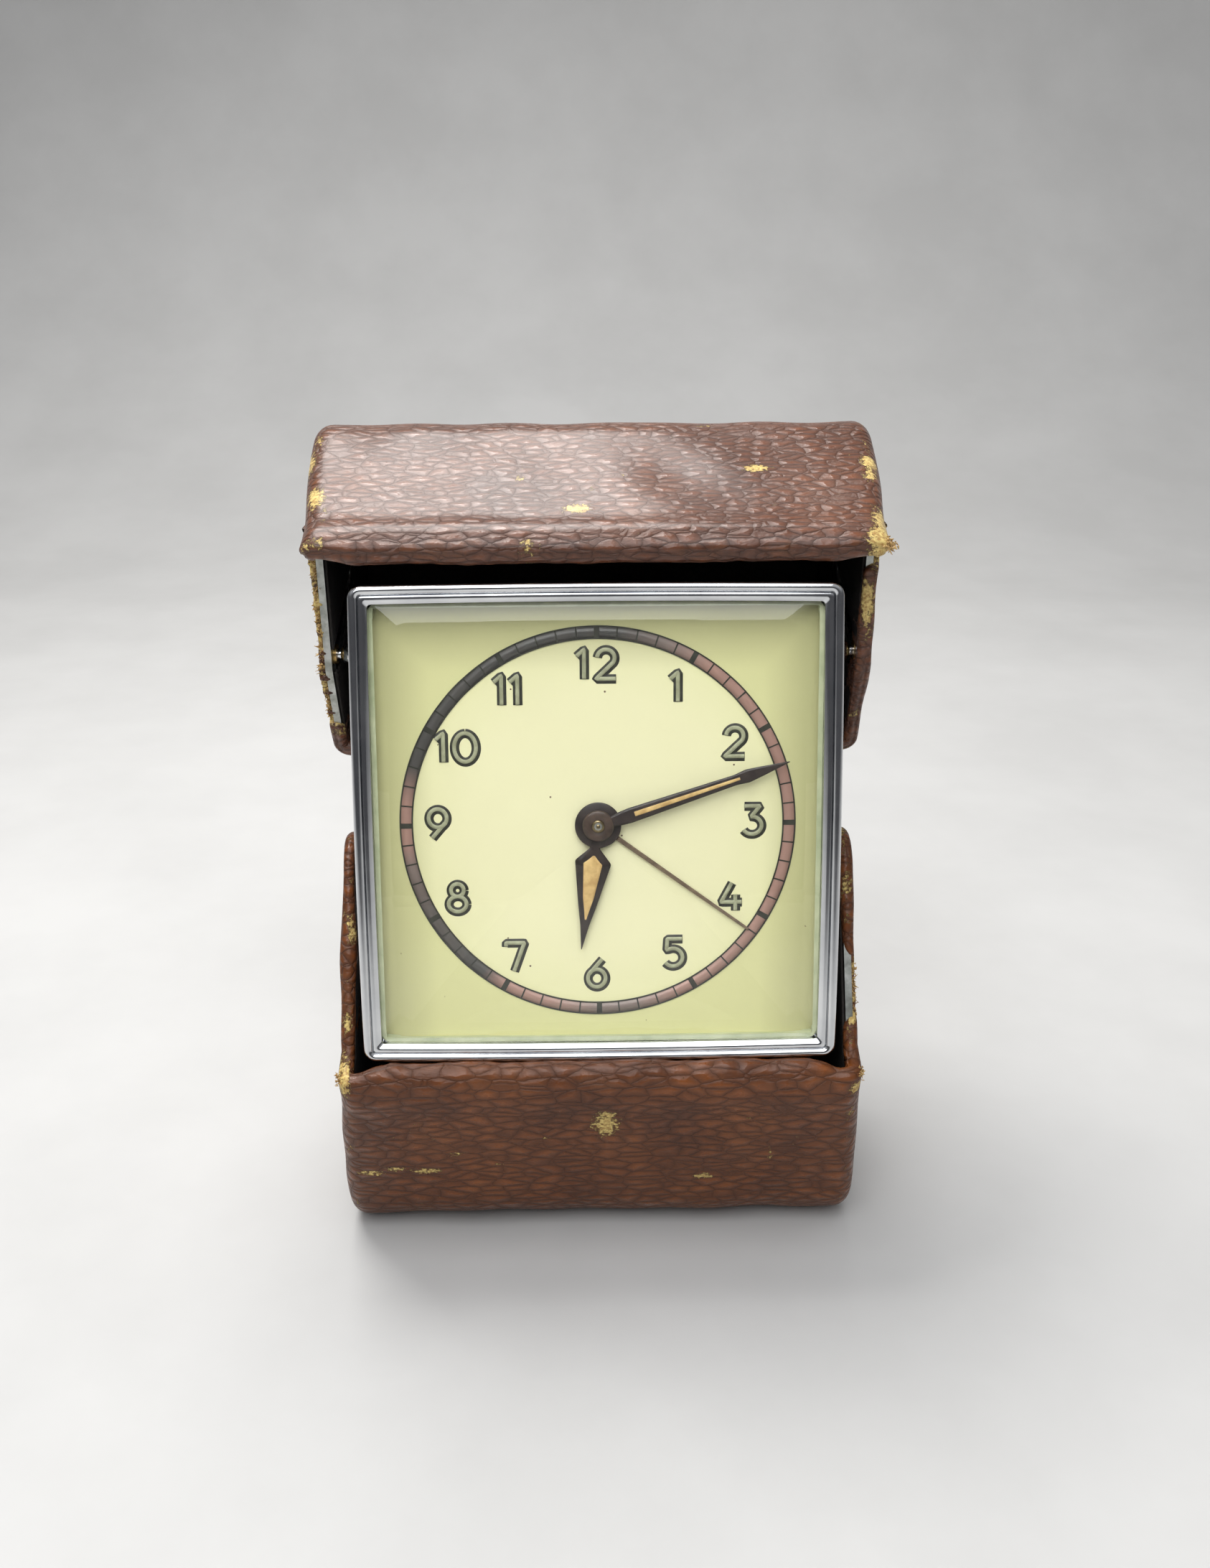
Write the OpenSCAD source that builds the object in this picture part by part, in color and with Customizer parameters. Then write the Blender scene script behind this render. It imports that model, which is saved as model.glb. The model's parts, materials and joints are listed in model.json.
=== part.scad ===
// Folding travel alarm clock: a square clock between two leather-covered half shells.
// The shells slide apart on side studs and tilt back, and the lower one becomes the stand.
// Clock modules are drawn in the clock's own directions: x to the right, y to the back,
// z up the dial, with y = 0 on the bezel's front. place_clock() leans them onto the stand.
// Shell modules are drawn with x to the right, y = s (from the seam towards the crown)
// and z = v (from the rear wall towards the front wall).

/* [Clock body] */
// Width and height of the square bezel
bezel_w = 60; // [50:0.5:72]
// Width of the chrome rim around the glass
bezel_rim = 2.3; // [1.8:0.1:3.2]
// Depth of the bezel frame
bezel_depth = 3.2; // [2.8:0.1:4]
// Room between the back plate and the back cover
cover_room = 1.6; // [1.5:0.1:2.3]
// Wall of the case and of its back cover
case_wall = 0.8; // [0.6:0.1:1]
// How far the case sits inside the bezel on each side
case_inset = 1; // [0.7:0.1:1.2]

/* [Shells] */
// Gap between the bezel and the lower shell's cheeks
bezel_side_gap = 1.2; // [0.9:0.1:2]
// Gap between the lower cheeks and the upper cheeks that close over them
nest_gap = 0.2; // [0.2:0.05:0.5]
// Room inside the shut case in front of the bezel
front_room = 4; // [3.8:0.1:6]
// Room inside the shut case behind the keys
back_room = 5.4; // [5:0.1:8]
// How far below the clock's top edge the crown starts when shut
crown_start = 5.5; // [4:0.1:6]
// Radius of the crown's front corner
crown_front_r = 9; // [7:0.1:10]
// Radius of the crown's rear corner
crown_rear_r = 13; // [11:0.1:14]
// Rounding of the edge between a cheek and the walls
cheek_edge_r = 3.5; // [2.6:0.1:4.5]
// Thickness of the leather
leather_t = 0.7; // [0.5:0.05:0.8]
// Thickness of the steel pressing
steel_t = 0.9; // [0.7:0.05:1]
// Thickness of the dark lining
lining_t = 0.5; // [0.3:0.05:0.6]
// Gap between the two seams when the case is shut
seam_gap = 0.6; // [0.4:0.1:1]

/* [Opening motion] */
// Tilt of the open upper shell
upper_tilt = 55; // [48:1:58]
// Tilt of the open lower shell
lower_tilt = 30; // [24:1:34]
// Distance from the seam to the stud's line when the upper shell is open
upper_open_d = 3.4; // [3.2:0.1:5]
// The same for the lower shell, whose ears reach past the seam
lower_open_d = -1.5; // [-4:0.1:0]
// Distance of the studs from the clock's top and bottom edges
stud_drop = 9.2; // [8:0.1:9.6]
// How far the studs sit in front of the back cover's rear face
stud_back = 3; // [2.7:0.1:3.7]
// Radius of the stud's running pin
stud_pin_r = 0.7; // [0.5:0.05:0.8]
// Radius of the bush that runs in the cheek's track
roller_r = 1.3; // [1.1:0.05:1.5]

/* [Dial and hands] */
// Gap between the bezel's opening and the minute ring
ring_gap = 3.3; // [2.7:0.1:7.7]
// Width of the minute ring's band
ring_band = 1.5; // [1:0.1:2]
// Distance from the minute ring's outer edge to the circle that the numerals stand on
numeral_drop = 5.1; // [4.5:0.1:8]
// Height of a numeral
numeral_h = 4.5; // [3.5:0.1:5]
// Width of a numeral's stroke
numeral_stroke = 0.85; // [0.5:0.05:1]
// Gap between the hour hand's tip and the numerals' circle
hour_tip_gap = 4; // [2.3:0.1:7]
// How far the minute hand reaches past the minute ring
minute_tip_past = 0.7; // [-4:0.1:1]
// Gap between the alarm hand's tip and the minute ring's outer edge
alarm_tip_gap = 1.4; // [0:0.1:6]
// Angle of the hour hand, clockwise from twelve
hour_angle = 187; // [0:1:359]
// Angle of the minute hand, clockwise from twelve
minute_angle = 71.6; // [0:0.1:359.9]
// Angle of the alarm hand, clockwise from twelve
alarm_angle = 125.7; // [0:0.1:359.9]

/* [Movement] */
// Gap between the edges of the movement plates and the case wall
plate_gap = 3.2; // [2.2:0.1:3.4]
// Thickness of a movement plate
plate_t = 0.8; // [0.6:0.1:1]
// Module of the teeth: pitch diameter over tooth count
gear_module = 0.4; // [0.39:0.01:0.41]
// Radius of the time barrel's drum
time_drum_r = 8.6; // [7.5:0.1:8.8]
// Radius of the alarm barrel's drum
alarm_drum_r = 6.4; // [5.5:0.1:6.6]
// Radius of the balance wheel
balance_r = 5; // [4:0.1:5.2]
// Half length of the time key's wings
time_key_r = 5; // [4:0.1:5.2]
// Half length of the alarm key's wings
alarm_key_r = 4.5; // [3.8:0.1:4.8]

/* [Hidden] */

// Number of segments of fine and of rough circles
fine = 64;
rough = 28;
// Overrun of every cut
cut = 1;
// Running clearance of a shaft in its hole
run_gap = 0.05;
// Gap between parts that pass each other
pass_gap = 0.25;

// Colours
chrome = "silver";
brass = "goldenrod";
leather_brown = "saddlebrown";

// Shell walls: how deep each layer starts below the outer face
wall_t = leather_t + steel_t + lining_t;
core_in = leather_t;
lining_in = leather_t + steel_t;
// Depth of the back plate's front face, of the whole clock and of the studs
back_plate_y = 13.3;
clock_depth = back_plate_y + plate_t + cover_room + case_wall;
stud_depth = clock_depth - stud_back;
// Half widths of the two shells, which nest: clock, lower shell, upper shell
lower_half_w = bezel_w / 2 + bezel_side_gap + wall_t;
upper_half_w = lower_half_w + nest_gap + wall_t;
// Knobs and keys behind the back cover
knob_gap = 0.3;
knob_h = 2.2;
key_h = 4.6;
// Thickness of a shell from its front wall to its rear wall, and the straight part of its walls
shell_t = front_room + clock_depth + knob_gap + key_h + back_room + 2 * wall_t;
shell_straight = bezel_w / 2 - crown_start;
// Height of the studs from the dial's centre, and how far they sit behind a shell's middle
stud_h = bezel_w / 2 - stud_drop;
stud_offset = stud_depth + front_room + wall_t - shell_t / 2;
// The leather's turned edge reaches this far past the steel
rim_t = leather_t;
// Centres of the crown's two corner arcs across the thickness
front_v = shell_t / 2 - crown_front_r;
rear_v = -(shell_t / 2 - crown_rear_r);
// The flat between the corner arcs is the foot, and it leans forward by this angle
foot_angle = asin((crown_rear_r - crown_front_r) / (front_v - rear_v));
lean = lower_tilt - foot_angle;
// Ears of the lower cheeks, measured from the seam: a round tip, and a notch that lets the
// open upper shell's rear edge pass
ear_tip_r = 6;
ear_tip_s = -12.5;
ear_tip_v = -7.5;
ear_notch_s = -8;
ear_notch_v = -5.5;
ear_start_angle = 145;
ear_end_angle = 235;
// Recess of the upper cheeks behind the front lip
recess_start_v = -2;
recess_s = 6.6;
// Dial circles and hands
ring_r = bezel_w / 2 - bezel_rim - ring_gap;
numeral_r = ring_r - numeral_drop;
hour_hand_len = numeral_r - hour_tip_gap;
minute_hand_len = ring_r + minute_tip_past;
alarm_hand_len = ring_r - alarm_tip_gap;
// The studs' line in a shut shell
shut_d = stud_h - seam_gap / 2;
arc_steps = 7;
edge_steps = 3;

// Foot centre in the lower shell, and then in the clock's directions
foot_s = shell_straight + (crown_front_r + crown_rear_r) / 2 * cos(foot_angle);
foot_v = (front_v + rear_v) / 2 + (crown_front_r + crown_rear_r) / 2 * sin(foot_angle);
foot_ds = foot_s - lower_open_d;
foot_dv = foot_v + stud_offset;
foot_z = -(stud_h + foot_ds * cos(lower_tilt) + foot_dv * sin(lower_tilt));
foot_y = stud_depth + foot_ds * sin(lower_tilt) - foot_dv * cos(lower_tilt);

// Depths of the dial stack, from the bezel's front to the back
crystal_y = 0.5;
crystal_t = 1.4;
crystal_bevel = 2;
crystal_bevel_t = 0.7;
hand_t = 0.2;
minute_hand_y = 2.15;
hour_hand_y = 2.65;
alarm_hand_y = 3.15;
dial_y = 3.6;
dial_t = 0.4;
print_t = 0.08;
// Depths of the motion work between the dial and the front plate
alarm_wheel_y = 4.2;
hour_wheel_y = 4.9;
minute_wheel_y = 5.65;
wheel_t = 0.45;
front_plate_y = 6.4;
// Depths of the train between the plates
barrel_y = 7.6;
barrel_h = 3.8;
fourth_wheel_y = 8.4;
third_wheel_y = 9.4;
escape_wheel_y = 10.2;
barrel_teeth_y = 10.8;
balance_y = 11.1;
hairspring_y = 11.9;
star_y = 11.65;
centre_wheel_y = 12.35;

// Tooth counts
cannon_n = 10;
minute_n = 30;
minute_pinion_n = 8;
hour_n = 32;
alarm_n = 30;
alarm_set_n = 20;
barrel_n = 48;
centre_pinion_n = 8;
centre_n = 40;
pinion_n = 6;
third_n = 36;
fourth_n = 36;
escape_n = 15;
alarm_barrel_n = 36;
star_n = 12;

half_turn = 180;
function pitch_r(n) = n * gear_module / 2;
function mesh_d(a, b) = pitch_r(a) + pitch_r(b);
function step_to(p, d, a) = [p[0] + d * cos(a), p[1] + d * sin(a)];

// Arbor places on the dial plane, each a mesh distance from the one before
centre_at = [0, 0];
minute_dir = 90;
minute_at = step_to(centre_at, mesh_d(cannon_n, minute_n), minute_dir);
alarm_set_dir = -90;
alarm_set_at = step_to(centre_at, mesh_d(alarm_n, alarm_set_n), alarm_set_dir);
barrel_dir = 199;
barrel_at = step_to(centre_at, mesh_d(barrel_n, centre_pinion_n), barrel_dir);
third_dir = 60;
third_at = step_to(centre_at, mesh_d(centre_n, pinion_n), third_dir);
fourth_dir = 100;
fourth_at = step_to(third_at, mesh_d(third_n, pinion_n), fourth_dir);
escape_dir = 10;
escape_at = step_to(fourth_at, mesh_d(fourth_n, pinion_n), escape_dir);
escape_r = 3.3;
pallet_dir = -60;
pallet_at = step_to(escape_at, 1.55 * escape_r, pallet_dir);
balance_dir = -75;
balance_at = step_to(pallet_at, 1.25 * balance_r, balance_dir);
alarm_barrel_at = [2.4 * balance_r, -1.2 * balance_r];
star_dir = 229;
star_at = step_to(alarm_barrel_at, mesh_d(alarm_barrel_n, pinion_n), star_dir);
star_r = 3;
hammer_dir = 225;
hammer_at = step_to(star_at, 1.6 * star_r, hammer_dir);
stop_at = [-3.4 * balance_r, 0.3 * balance_r];

// Shaft radii
arbor_r = 0.5;
set_arbor_r = 0.6;
winding_r = 1.2;
tube_t = 0.3;
cannon_r = arbor_r + run_gap + tube_t;
hour_tube_r = cannon_r + run_gap + tube_t;
alarm_tube_r = hour_tube_r + run_gap + tube_t;

// Stands the clock's directions on the foot
module place_clock() {
    rotate([-lean, 0, 0]) translate([0, -foot_y, -foot_z]) children();
}

// Puts an upper or a lower shell on its studs, open
module place_upper() {
    place_clock() translate([0, stud_depth, stud_h]) rotate([90 - upper_tilt, 0, 0])
        translate([0, -upper_open_d, stud_offset]) children();
}
module place_lower() {
    place_clock() translate([0, stud_depth, -stud_h]) mirror([0, 0, 1])
        rotate([90 - lower_tilt, 0, 0]) translate([0, -lower_open_d, stud_offset]) children();
}

// A flat shape drawn as seen from the front, given a thickness towards the back
module lay(y, t) {
    translate([0, y + t, 0]) rotate([90, 0, 0]) linear_extrude(height = t) children();
}

// A round rod at a place on the dial plane, running front to back
module rod(at, r, y, len, fn = rough) {
    translate([at[0], y + len, at[1]]) rotate([90, 0, 0]) cylinder(r = r, h = len, $fn = fn);
}

module at_dial(p) {
    translate([p[0], 0, p[1]]) children();
}

// Teeth as an outline: each tooth is a narrow trapezoid with room beside it
tooth_shares = [[-0.25, -1.15], [-0.17, 0], [-0.08, 0.8], [0.08, 0.8], [0.17, 0], [0.25, -1.15]];
function tooth_points(n, phase) = [for (k = [0 : n - 1]) for (t = tooth_shares)
    let (a = phase + (k + t[0]) * 360 / n, r = pitch_r(n) + t[1] * gear_module)
    [r * cos(a), r * sin(a)]];

module gear(n, phase, y, t, bore) {
    difference() {
        lay(y, t) polygon(tooth_points(n, phase));
        if (bore > 0) rod(centre_at, bore, y - cut, t + 2 * cut);
    }
}

// Phase of the follower so that one of its gaps faces a tooth of the driver
function meshing(n, dir) = dir + half_turn + half_turn / n;

// A flat spiral band
spiral_steps = 14;
function spiral_side(r0, r1, turns, off) = [for (i = [0 : turns * spiral_steps])
    let (f = i / (turns * spiral_steps), a = 360 * f * turns, r = r0 + (r1 - r0) * f + off)
    [r * cos(a), r * sin(a)]];
function reversed(v) = [for (i = [len(v) - 1 : -1 : 0]) v[i]];
module spiral(r0, r1, turns, band) {
    polygon(concat(spiral_side(r0, r1, turns, band / 2), reversed(spiral_side(r0, r1, turns, -band / 2))));
}

module rounded_square(w, r) {
    offset(r = r, $fn = rough) square(w - 2 * r, center = true);
}

// Shell outline in s and v, with the wall layers as insets
function arc_points(c, r, a0, a1) = [for (i = [0 : arc_steps])
    let (a = a0 + (a1 - a0) * i / arc_steps) [c[0] + r * cos(a), c[1] + r * sin(a)]];
function section(inset, past) = concat(
    [[-past, shell_t / 2 - inset]],
    arc_points([shell_straight, front_v], crown_front_r - inset, 90, foot_angle),
    arc_points([shell_straight, rear_v], crown_rear_r - inset, foot_angle, -90),
    [[-past, -(shell_t / 2 - inset)]]);

// Drawing plane s, v raised along x
module side_view() {
    rotate([90, 0, 90]) children();
}

module side_block(half_w, inset, past) {
    translate([-half_w, 0, 0]) side_view()
        linear_extrude(height = 2 * half_w) polygon(section(inset, past));
}

// The same block with its long edges rounded: rings of the outline, one for each station in x
function edge_station(side, k, half_w, inset) =
    let (a = 90 * k / edge_steps, r = cheek_edge_r - inset)
    [side * (half_w - inset - r * (1 - sin(a))), inset + r * (1 - cos(a))];
module rounded_block(half_w, inset, past) {
    stations = concat(
        [for (k = [edge_steps : -1 : 0]) edge_station(-1, k, half_w, inset)],
        [for (k = [0 : edge_steps]) edge_station(1, k, half_w, inset)]);
    n = len(section(inset, past));
    last = len(stations) - 1;
    points = [for (t = stations) for (p = section(t[1], past)) [t[0], p[0], p[1]]];
    start_cap = [for (i = [n - 1 : -1 : 0]) i];
    end_cap = [for (i = [0 : n - 1]) last * n + i];
    sides = [for (k = [0 : last - 1]) for (i = [0 : n - 1])
        let (j = (i + 1) % n, a = k * n, b = a + n)
        each [[a + i, b + j, b + i], [a + i, a + j, b + j]]];
    polyhedron(points, concat([start_cap, end_cap], sides));
}

// Everything past the seam, towards the crown
module seam_slab(half_w, start) {
    reach = shell_straight + crown_rear_r + cut;
    translate([-half_w - cut, start, -shell_t / 2 - cut])
        cube([2 * (half_w + cut), reach, shell_t + 2 * cut]);
}

// Outline of the lower cheeks' ears
ear_points = concat(
    [[2 * cut, shell_t / 2 - wall_t]],
    [for (i = [0 : arc_steps])
        let (a = ear_start_angle + (ear_end_angle - ear_start_angle) * i / arc_steps)
        [ear_tip_s + ear_tip_r * cos(a), ear_tip_v + ear_tip_r * sin(a)]],
    [[ear_notch_s, ear_notch_v], [2 * cut, wall_t - shell_t / 2]]);

module ears(half_w, inset) {
    translate([-half_w - cut, 0, 0]) side_view()
        linear_extrude(height = 2 * (half_w + cut)) offset(delta = -inset) polygon(ear_points);
}

// Wedge taken out of the upper cheeks behind the front lip
module recess(half_w, grow) {
    inner_v = shell_t / 2 - wall_t;
    translate([-half_w - cut, 0, 0]) side_view() linear_extrude(height = 2 * (half_w + cut))
        polygon([[-cut, recess_start_v - grow], [grow, recess_start_v - grow],
            [recess_s + grow, inner_v], [-cut, inner_v]]);
}

// Track for the bush, cut from the inside of both cheeks and closed by the leather
module tracks(half_w, open_d) {
    slot_r = roller_r + run_gap * 2;
    depth = half_w - leather_t;
    for (end = [open_d, shut_d]) side_track(depth, end, slot_r);
    translate([-depth, open_d, -stud_offset - slot_r])
        cube([2 * depth, shut_d - open_d, 2 * slot_r]);
}
module side_track(depth, s, r) {
    translate([-depth, s, -stud_offset]) rotate([0, 90, 0]) cylinder(r = r, h = 2 * depth, $fn = rough);
}

// Which part of the block belongs to a shell: past the seam, plus the ears or less the recess
module lower_part(half_w, edge) {
    intersection() {
        children();
        union() {
            seam_slab(half_w, edge);
            ears(half_w, edge);
        }
    }
}
module upper_part(half_w, edge) {
    difference() {
        intersection() {
            children();
            seam_slab(half_w, edge);
        }
        recess(half_w, edge);
    }
}

ear_past = -ear_tip_s + ear_tip_r + 2 * cut;

module shell_layer(half_w, from, to, past) {
    difference() {
        rounded_block(half_w, from, past);
        side_block(half_w - to, to, past + cut);
    }
}
module inner_layer(half_w, from, to, past) {
    difference() {
        side_block(half_w - from, from, past);
        side_block(half_w - to, to, past + cut);
    }
}

module upper_shell_core() {
    color("darkgray") place_upper() difference() {
        upper_part(upper_half_w, rim_t) shell_layer(upper_half_w, core_in, lining_in, ear_past);
        tracks(upper_half_w, upper_open_d);
    }
}
module upper_lining() {
    color("dimgray") place_upper() difference() {
        upper_part(upper_half_w, rim_t) inner_layer(upper_half_w, lining_in, wall_t, ear_past);
        tracks(upper_half_w, upper_open_d);
    }
}
module upper_leather_cover() {
    color(leather_brown) place_upper() difference() {
        upper_part(upper_half_w, 0) shell_layer(upper_half_w, 0, wall_t, ear_past);
        upper_part(upper_half_w, rim_t) rounded_block(upper_half_w, core_in, ear_past);
    }
}
module lower_shell_core() {
    color("darkgray") place_lower() difference() {
        lower_part(lower_half_w, rim_t) shell_layer(lower_half_w, core_in, lining_in, ear_past);
        tracks(lower_half_w, lower_open_d);
    }
}
module lower_lining() {
    color("dimgray") place_lower() difference() {
        lower_part(lower_half_w, rim_t) inner_layer(lower_half_w, lining_in, wall_t, ear_past);
        tracks(lower_half_w, lower_open_d);
    }
}
module lower_leather_cover() {
    color(leather_brown) place_lower() difference() {
        lower_part(lower_half_w, 0) shell_layer(lower_half_w, 0, wall_t, ear_past);
        lower_part(lower_half_w, rim_t) rounded_block(lower_half_w, core_in, ear_past);
    }
}

// Side studs: a foot in the case wall, a domed shoulder and a running pin
case_half = bezel_w / 2 - case_inset;
stud_foot_r = 1;
dome_r = 2.4;
module stud(z, dome_x, end_x) {
    dome_h = dome_x - case_half;
    translate([0, stud_depth, z]) rotate([0, 90, 0]) {
        translate([0, 0, case_half - case_wall]) cylinder(r = stud_foot_r - run_gap, h = case_wall, $fn = rough);
        translate([0, 0, case_half]) rotate_extrude($fn = fine) intersection() {
            square([dome_r, dome_h]);
            scale([1, dome_h / dome_r]) circle(r = dome_r, $fn = fine);
        }
        translate([0, 0, case_half]) cylinder(r = stud_pin_r, h = end_x - case_half, $fn = rough);
    }
}
module stud_pair(z, dome_x, end_x) {
    stud(z, dome_x, end_x);
    mirror([1, 0, 0]) stud(z, dome_x, end_x);
}
upper_inner = upper_half_w - wall_t;
lower_inner = lower_half_w - wall_t;
module upper_pivot_studs() {
    color(chrome) place_clock() stud_pair(stud_h, upper_inner - pass_gap, upper_half_w - leather_t - pass_gap);
}
module lower_pivot_studs() {
    color(chrome) place_clock() stud_pair(-stud_h, lower_inner - pass_gap, lower_half_w - leather_t - pass_gap);
}

module roller_pair(z, half_w) {
    x0 = half_w - wall_t + run_gap;
    x1 = half_w - leather_t - run_gap;
    for (side = [-1, 1]) translate([side * (x0 + x1) / 2, stud_depth, z]) rotate([0, 90, 0])
        difference() {
            cylinder(r = roller_r, h = x1 - x0, center = true, $fn = fine);
            cylinder(r = stud_pin_r + run_gap, h = x1, center = true, $fn = fine);
        }
}
module upper_slide_rollers() {
    color(brass) place_clock() roller_pair(stud_h, upper_half_w);
}
module lower_slide_rollers() {
    color(brass) place_clock() roller_pair(-stud_h, lower_half_w);
}

// Chrome frame: a round outer bead, then a raised step and a slope down to the glass
bead_r = 1.2;
bezel_corner_r = 1.6;
step_w = 0.5;
bead_steps = 4;
opening_w = bezel_w - 2 * bezel_rim;
glass_w = opening_w + step_w;
glass_seat_y = crystal_y + crystal_bevel_t;
module frame_layer(y, t, outer_inset, inner_w) {
    lay(y, t) difference() {
        rounded_square(bezel_w - 2 * outer_inset, bezel_corner_r);
        rounded_square(inner_w, bezel_corner_r);
    }
}
module bezel() {
    color(chrome) place_clock() {
        for (k = [0 : bead_steps - 1]) {
            a = 90 * (k + 1) / (bead_steps + 1);
            t = bead_r / 2 / bead_steps;
            frame_layer(k * t, t, bead_r / 2 * (1 - sin(a)), opening_w);
        }
        frame_layer(bead_r / 2, glass_seat_y - bead_r / 2, 0, opening_w);
        frame_layer(glass_seat_y, crystal_y + crystal_t - glass_seat_y, 0, glass_w + 2 * run_gap);
        frame_layer(crystal_y + crystal_t, bezel_depth - crystal_y - crystal_t, 0,
            bezel_w - 2 * case_inset - 2 * case_wall);
    }
}

// Bevelled glass: its shoulder sits behind the bezel's lip
module crystal() {
    w = opening_w - 2 * run_gap;
    color("lightcyan", 0.4) place_clock() {
        lay(glass_seat_y, crystal_y + crystal_t - glass_seat_y) rounded_square(glass_w, bezel_corner_r);
        translate([0, glass_seat_y, 0]) rotate([90, 0, 0])
            linear_extrude(height = crystal_bevel_t, scale = 1 - 2 * crystal_bevel / w)
            rounded_square(w, bezel_corner_r);
    }
}

// Frame that holds the glass against the bezel's lip and rests on the dial
spacer_t = 0.8;
module dial_spacer() {
    y = crystal_y + crystal_t;
    color(brass) place_clock() lay(y, dial_y - y) difference() {
        rounded_square(glass_w, bezel_corner_r);
        square(glass_w - 2 * spacer_t, center = true);
    }
}

// Case walls hang from the bezel and carry the dial and the movement
case_w = bezel_w - 2 * case_inset;
case_corner_r = 2;
back_y = clock_depth - case_wall;
module case_body() {
    color(chrome) place_clock() difference() {
        lay(bezel_depth, back_y - bezel_depth) difference() {
            rounded_square(case_w, case_corner_r);
            rounded_square(case_w - 2 * case_wall, case_corner_r);
        }
        for (z = [-stud_h, stud_h]) translate([-case_w, stud_depth, z]) rotate([0, 90, 0])
            cylinder(r = stud_foot_r, h = 2 * case_w, $fn = rough);
    }
}

screw_r = 0.7;
screw_head_r = 1.3;
screw_head_t = 0.5;
module corner_pairs(d) {
    for (x = [-d, d], z = [-d, d]) at_dial([x, z]) children();
}
key_hole_r = 2.4;
module back_cover() {
    color(chrome) place_clock() difference() {
        lay(back_y, case_wall) rounded_square(case_w, case_corner_r);
        for (p = [barrel_at, alarm_barrel_at]) rod(p, key_hole_r, back_y - cut, case_wall + 2 * cut);
        for (p = [centre_at, alarm_set_at]) rod(p, winding_r, back_y - cut, case_wall + 2 * cut);
        rod(stop_at, stop_r + run_gap, back_y - cut, case_wall + 2 * cut);
        corner_pairs(pillar_at) rod(centre_at, screw_r + run_gap, back_y - cut, case_wall + 2 * cut);
    }
}
module back_screws() {
    color(chrome) place_clock() corner_pairs(pillar_at) {
        rod(centre_at, screw_head_r, clock_depth, screw_head_t);
        rod(centre_at, screw_r, back_plate_y + plate_t, clock_depth - back_plate_y - plate_t);
    }
}

// Dial, its printed ring and numerals
dial_w = case_w - 2 * case_wall - 2 * pass_gap;
module dial_plate() {
    color("lemonchiffon") place_clock() difference() {
        lay(dial_y, dial_t) rounded_square(dial_w, case_corner_r);
        rod(centre_at, alarm_tube_r + run_gap, dial_y - cut, dial_t + 2 * cut);
    }
}
cell_gap = 2;
module chapter_ring() {
    color("rosybrown") place_clock() difference() {
        rod(centre_at, ring_r, dial_y - print_t, print_t, fine);
        rod(centre_at, ring_r - ring_band, dial_y - cut, 2 * cut, fine);
        for (k = [0 : 11]) rotate([0, 30 * k, 0])
            translate([-cell_gap * print_t, dial_y - cut, ring_r - ring_band - cut])
            cube([2 * cell_gap * print_t, 2 * cut, ring_band + 2 * cut]);
    }
}

// Numerals as strokes on a grid: shares of the numeral's height, x then y
digit_shares = [
    [[-0.22, 0.3], [0, 0.5], [0.22, 0.3], [0.22, -0.3], [0, -0.5], [-0.22, -0.3], [-0.22, 0.3]],
    [[-0.18, 0.28], [0.02, 0.5], [0.02, -0.5]],
    [[-0.22, 0.3], [0, 0.5], [0.22, 0.28], [-0.24, -0.5], [0.26, -0.5]],
    [[-0.22, 0.5], [0.22, 0.5], [0, 0.1], [0.24, -0.18], [0.04, -0.5], [-0.24, -0.4]],
    [[0.04, 0.5], [-0.28, -0.2], [0.28, -0.2], [0.1, -0.2], [0.1, 0.02], [0.1, -0.5]],
    [[0.24, 0.5], [-0.18, 0.5], [-0.22, 0.08], [0.12, 0.08], [0.24, -0.2], [0.06, -0.5], [-0.24, -0.42]],
    [[0.14, 0.5], [-0.2, -0.1], [-0.16, -0.42], [0.08, -0.5], [0.24, -0.22], [0.08, 0.04], [-0.18, -0.04]],
    [[-0.24, 0.5], [0.24, 0.5], [0.02, -0.5]],
    [[0, 0.08], [-0.18, 0.3], [0, 0.5], [0.18, 0.3], [0, 0.08], [-0.24, -0.2], [0, -0.5], [0.24, -0.2], [0, 0.08]],
    [[0.18, 0.04], [-0.08, -0.04], [-0.24, 0.22], [-0.08, 0.5], [0.16, 0.42], [0.2, 0.1], [-0.14, -0.5]]];
module stroke(a, b) {
    d = b - a;
    translate(a) rotate(atan2(d[1], d[0])) translate([-numeral_stroke / 2, -numeral_stroke / 2])
        square([norm(d) + numeral_stroke, numeral_stroke]);
}
module digit(n) {
    p = digit_shares[n] * (numeral_h - numeral_stroke);
    for (i = [1 : len(p) - 1]) stroke(p[i - 1], p[i]);
}
pair_share = 0.36;
digit_count = len(digit_shares);
module hour_number(h) {
    if (h < digit_count) digit(h);
    else for (side = [-1, 1]) translate([side * pair_share * numeral_h, 0])
        digit(side < 0 ? 1 : h - digit_count);
}
module dial_numerals() {
    color("beige") place_clock() lay(dial_y - print_t, print_t)
        for (h = [1 : 12]) translate([numeral_r * sin(30 * h), numeral_r * cos(30 * h)]) hour_number(h);
}

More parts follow.
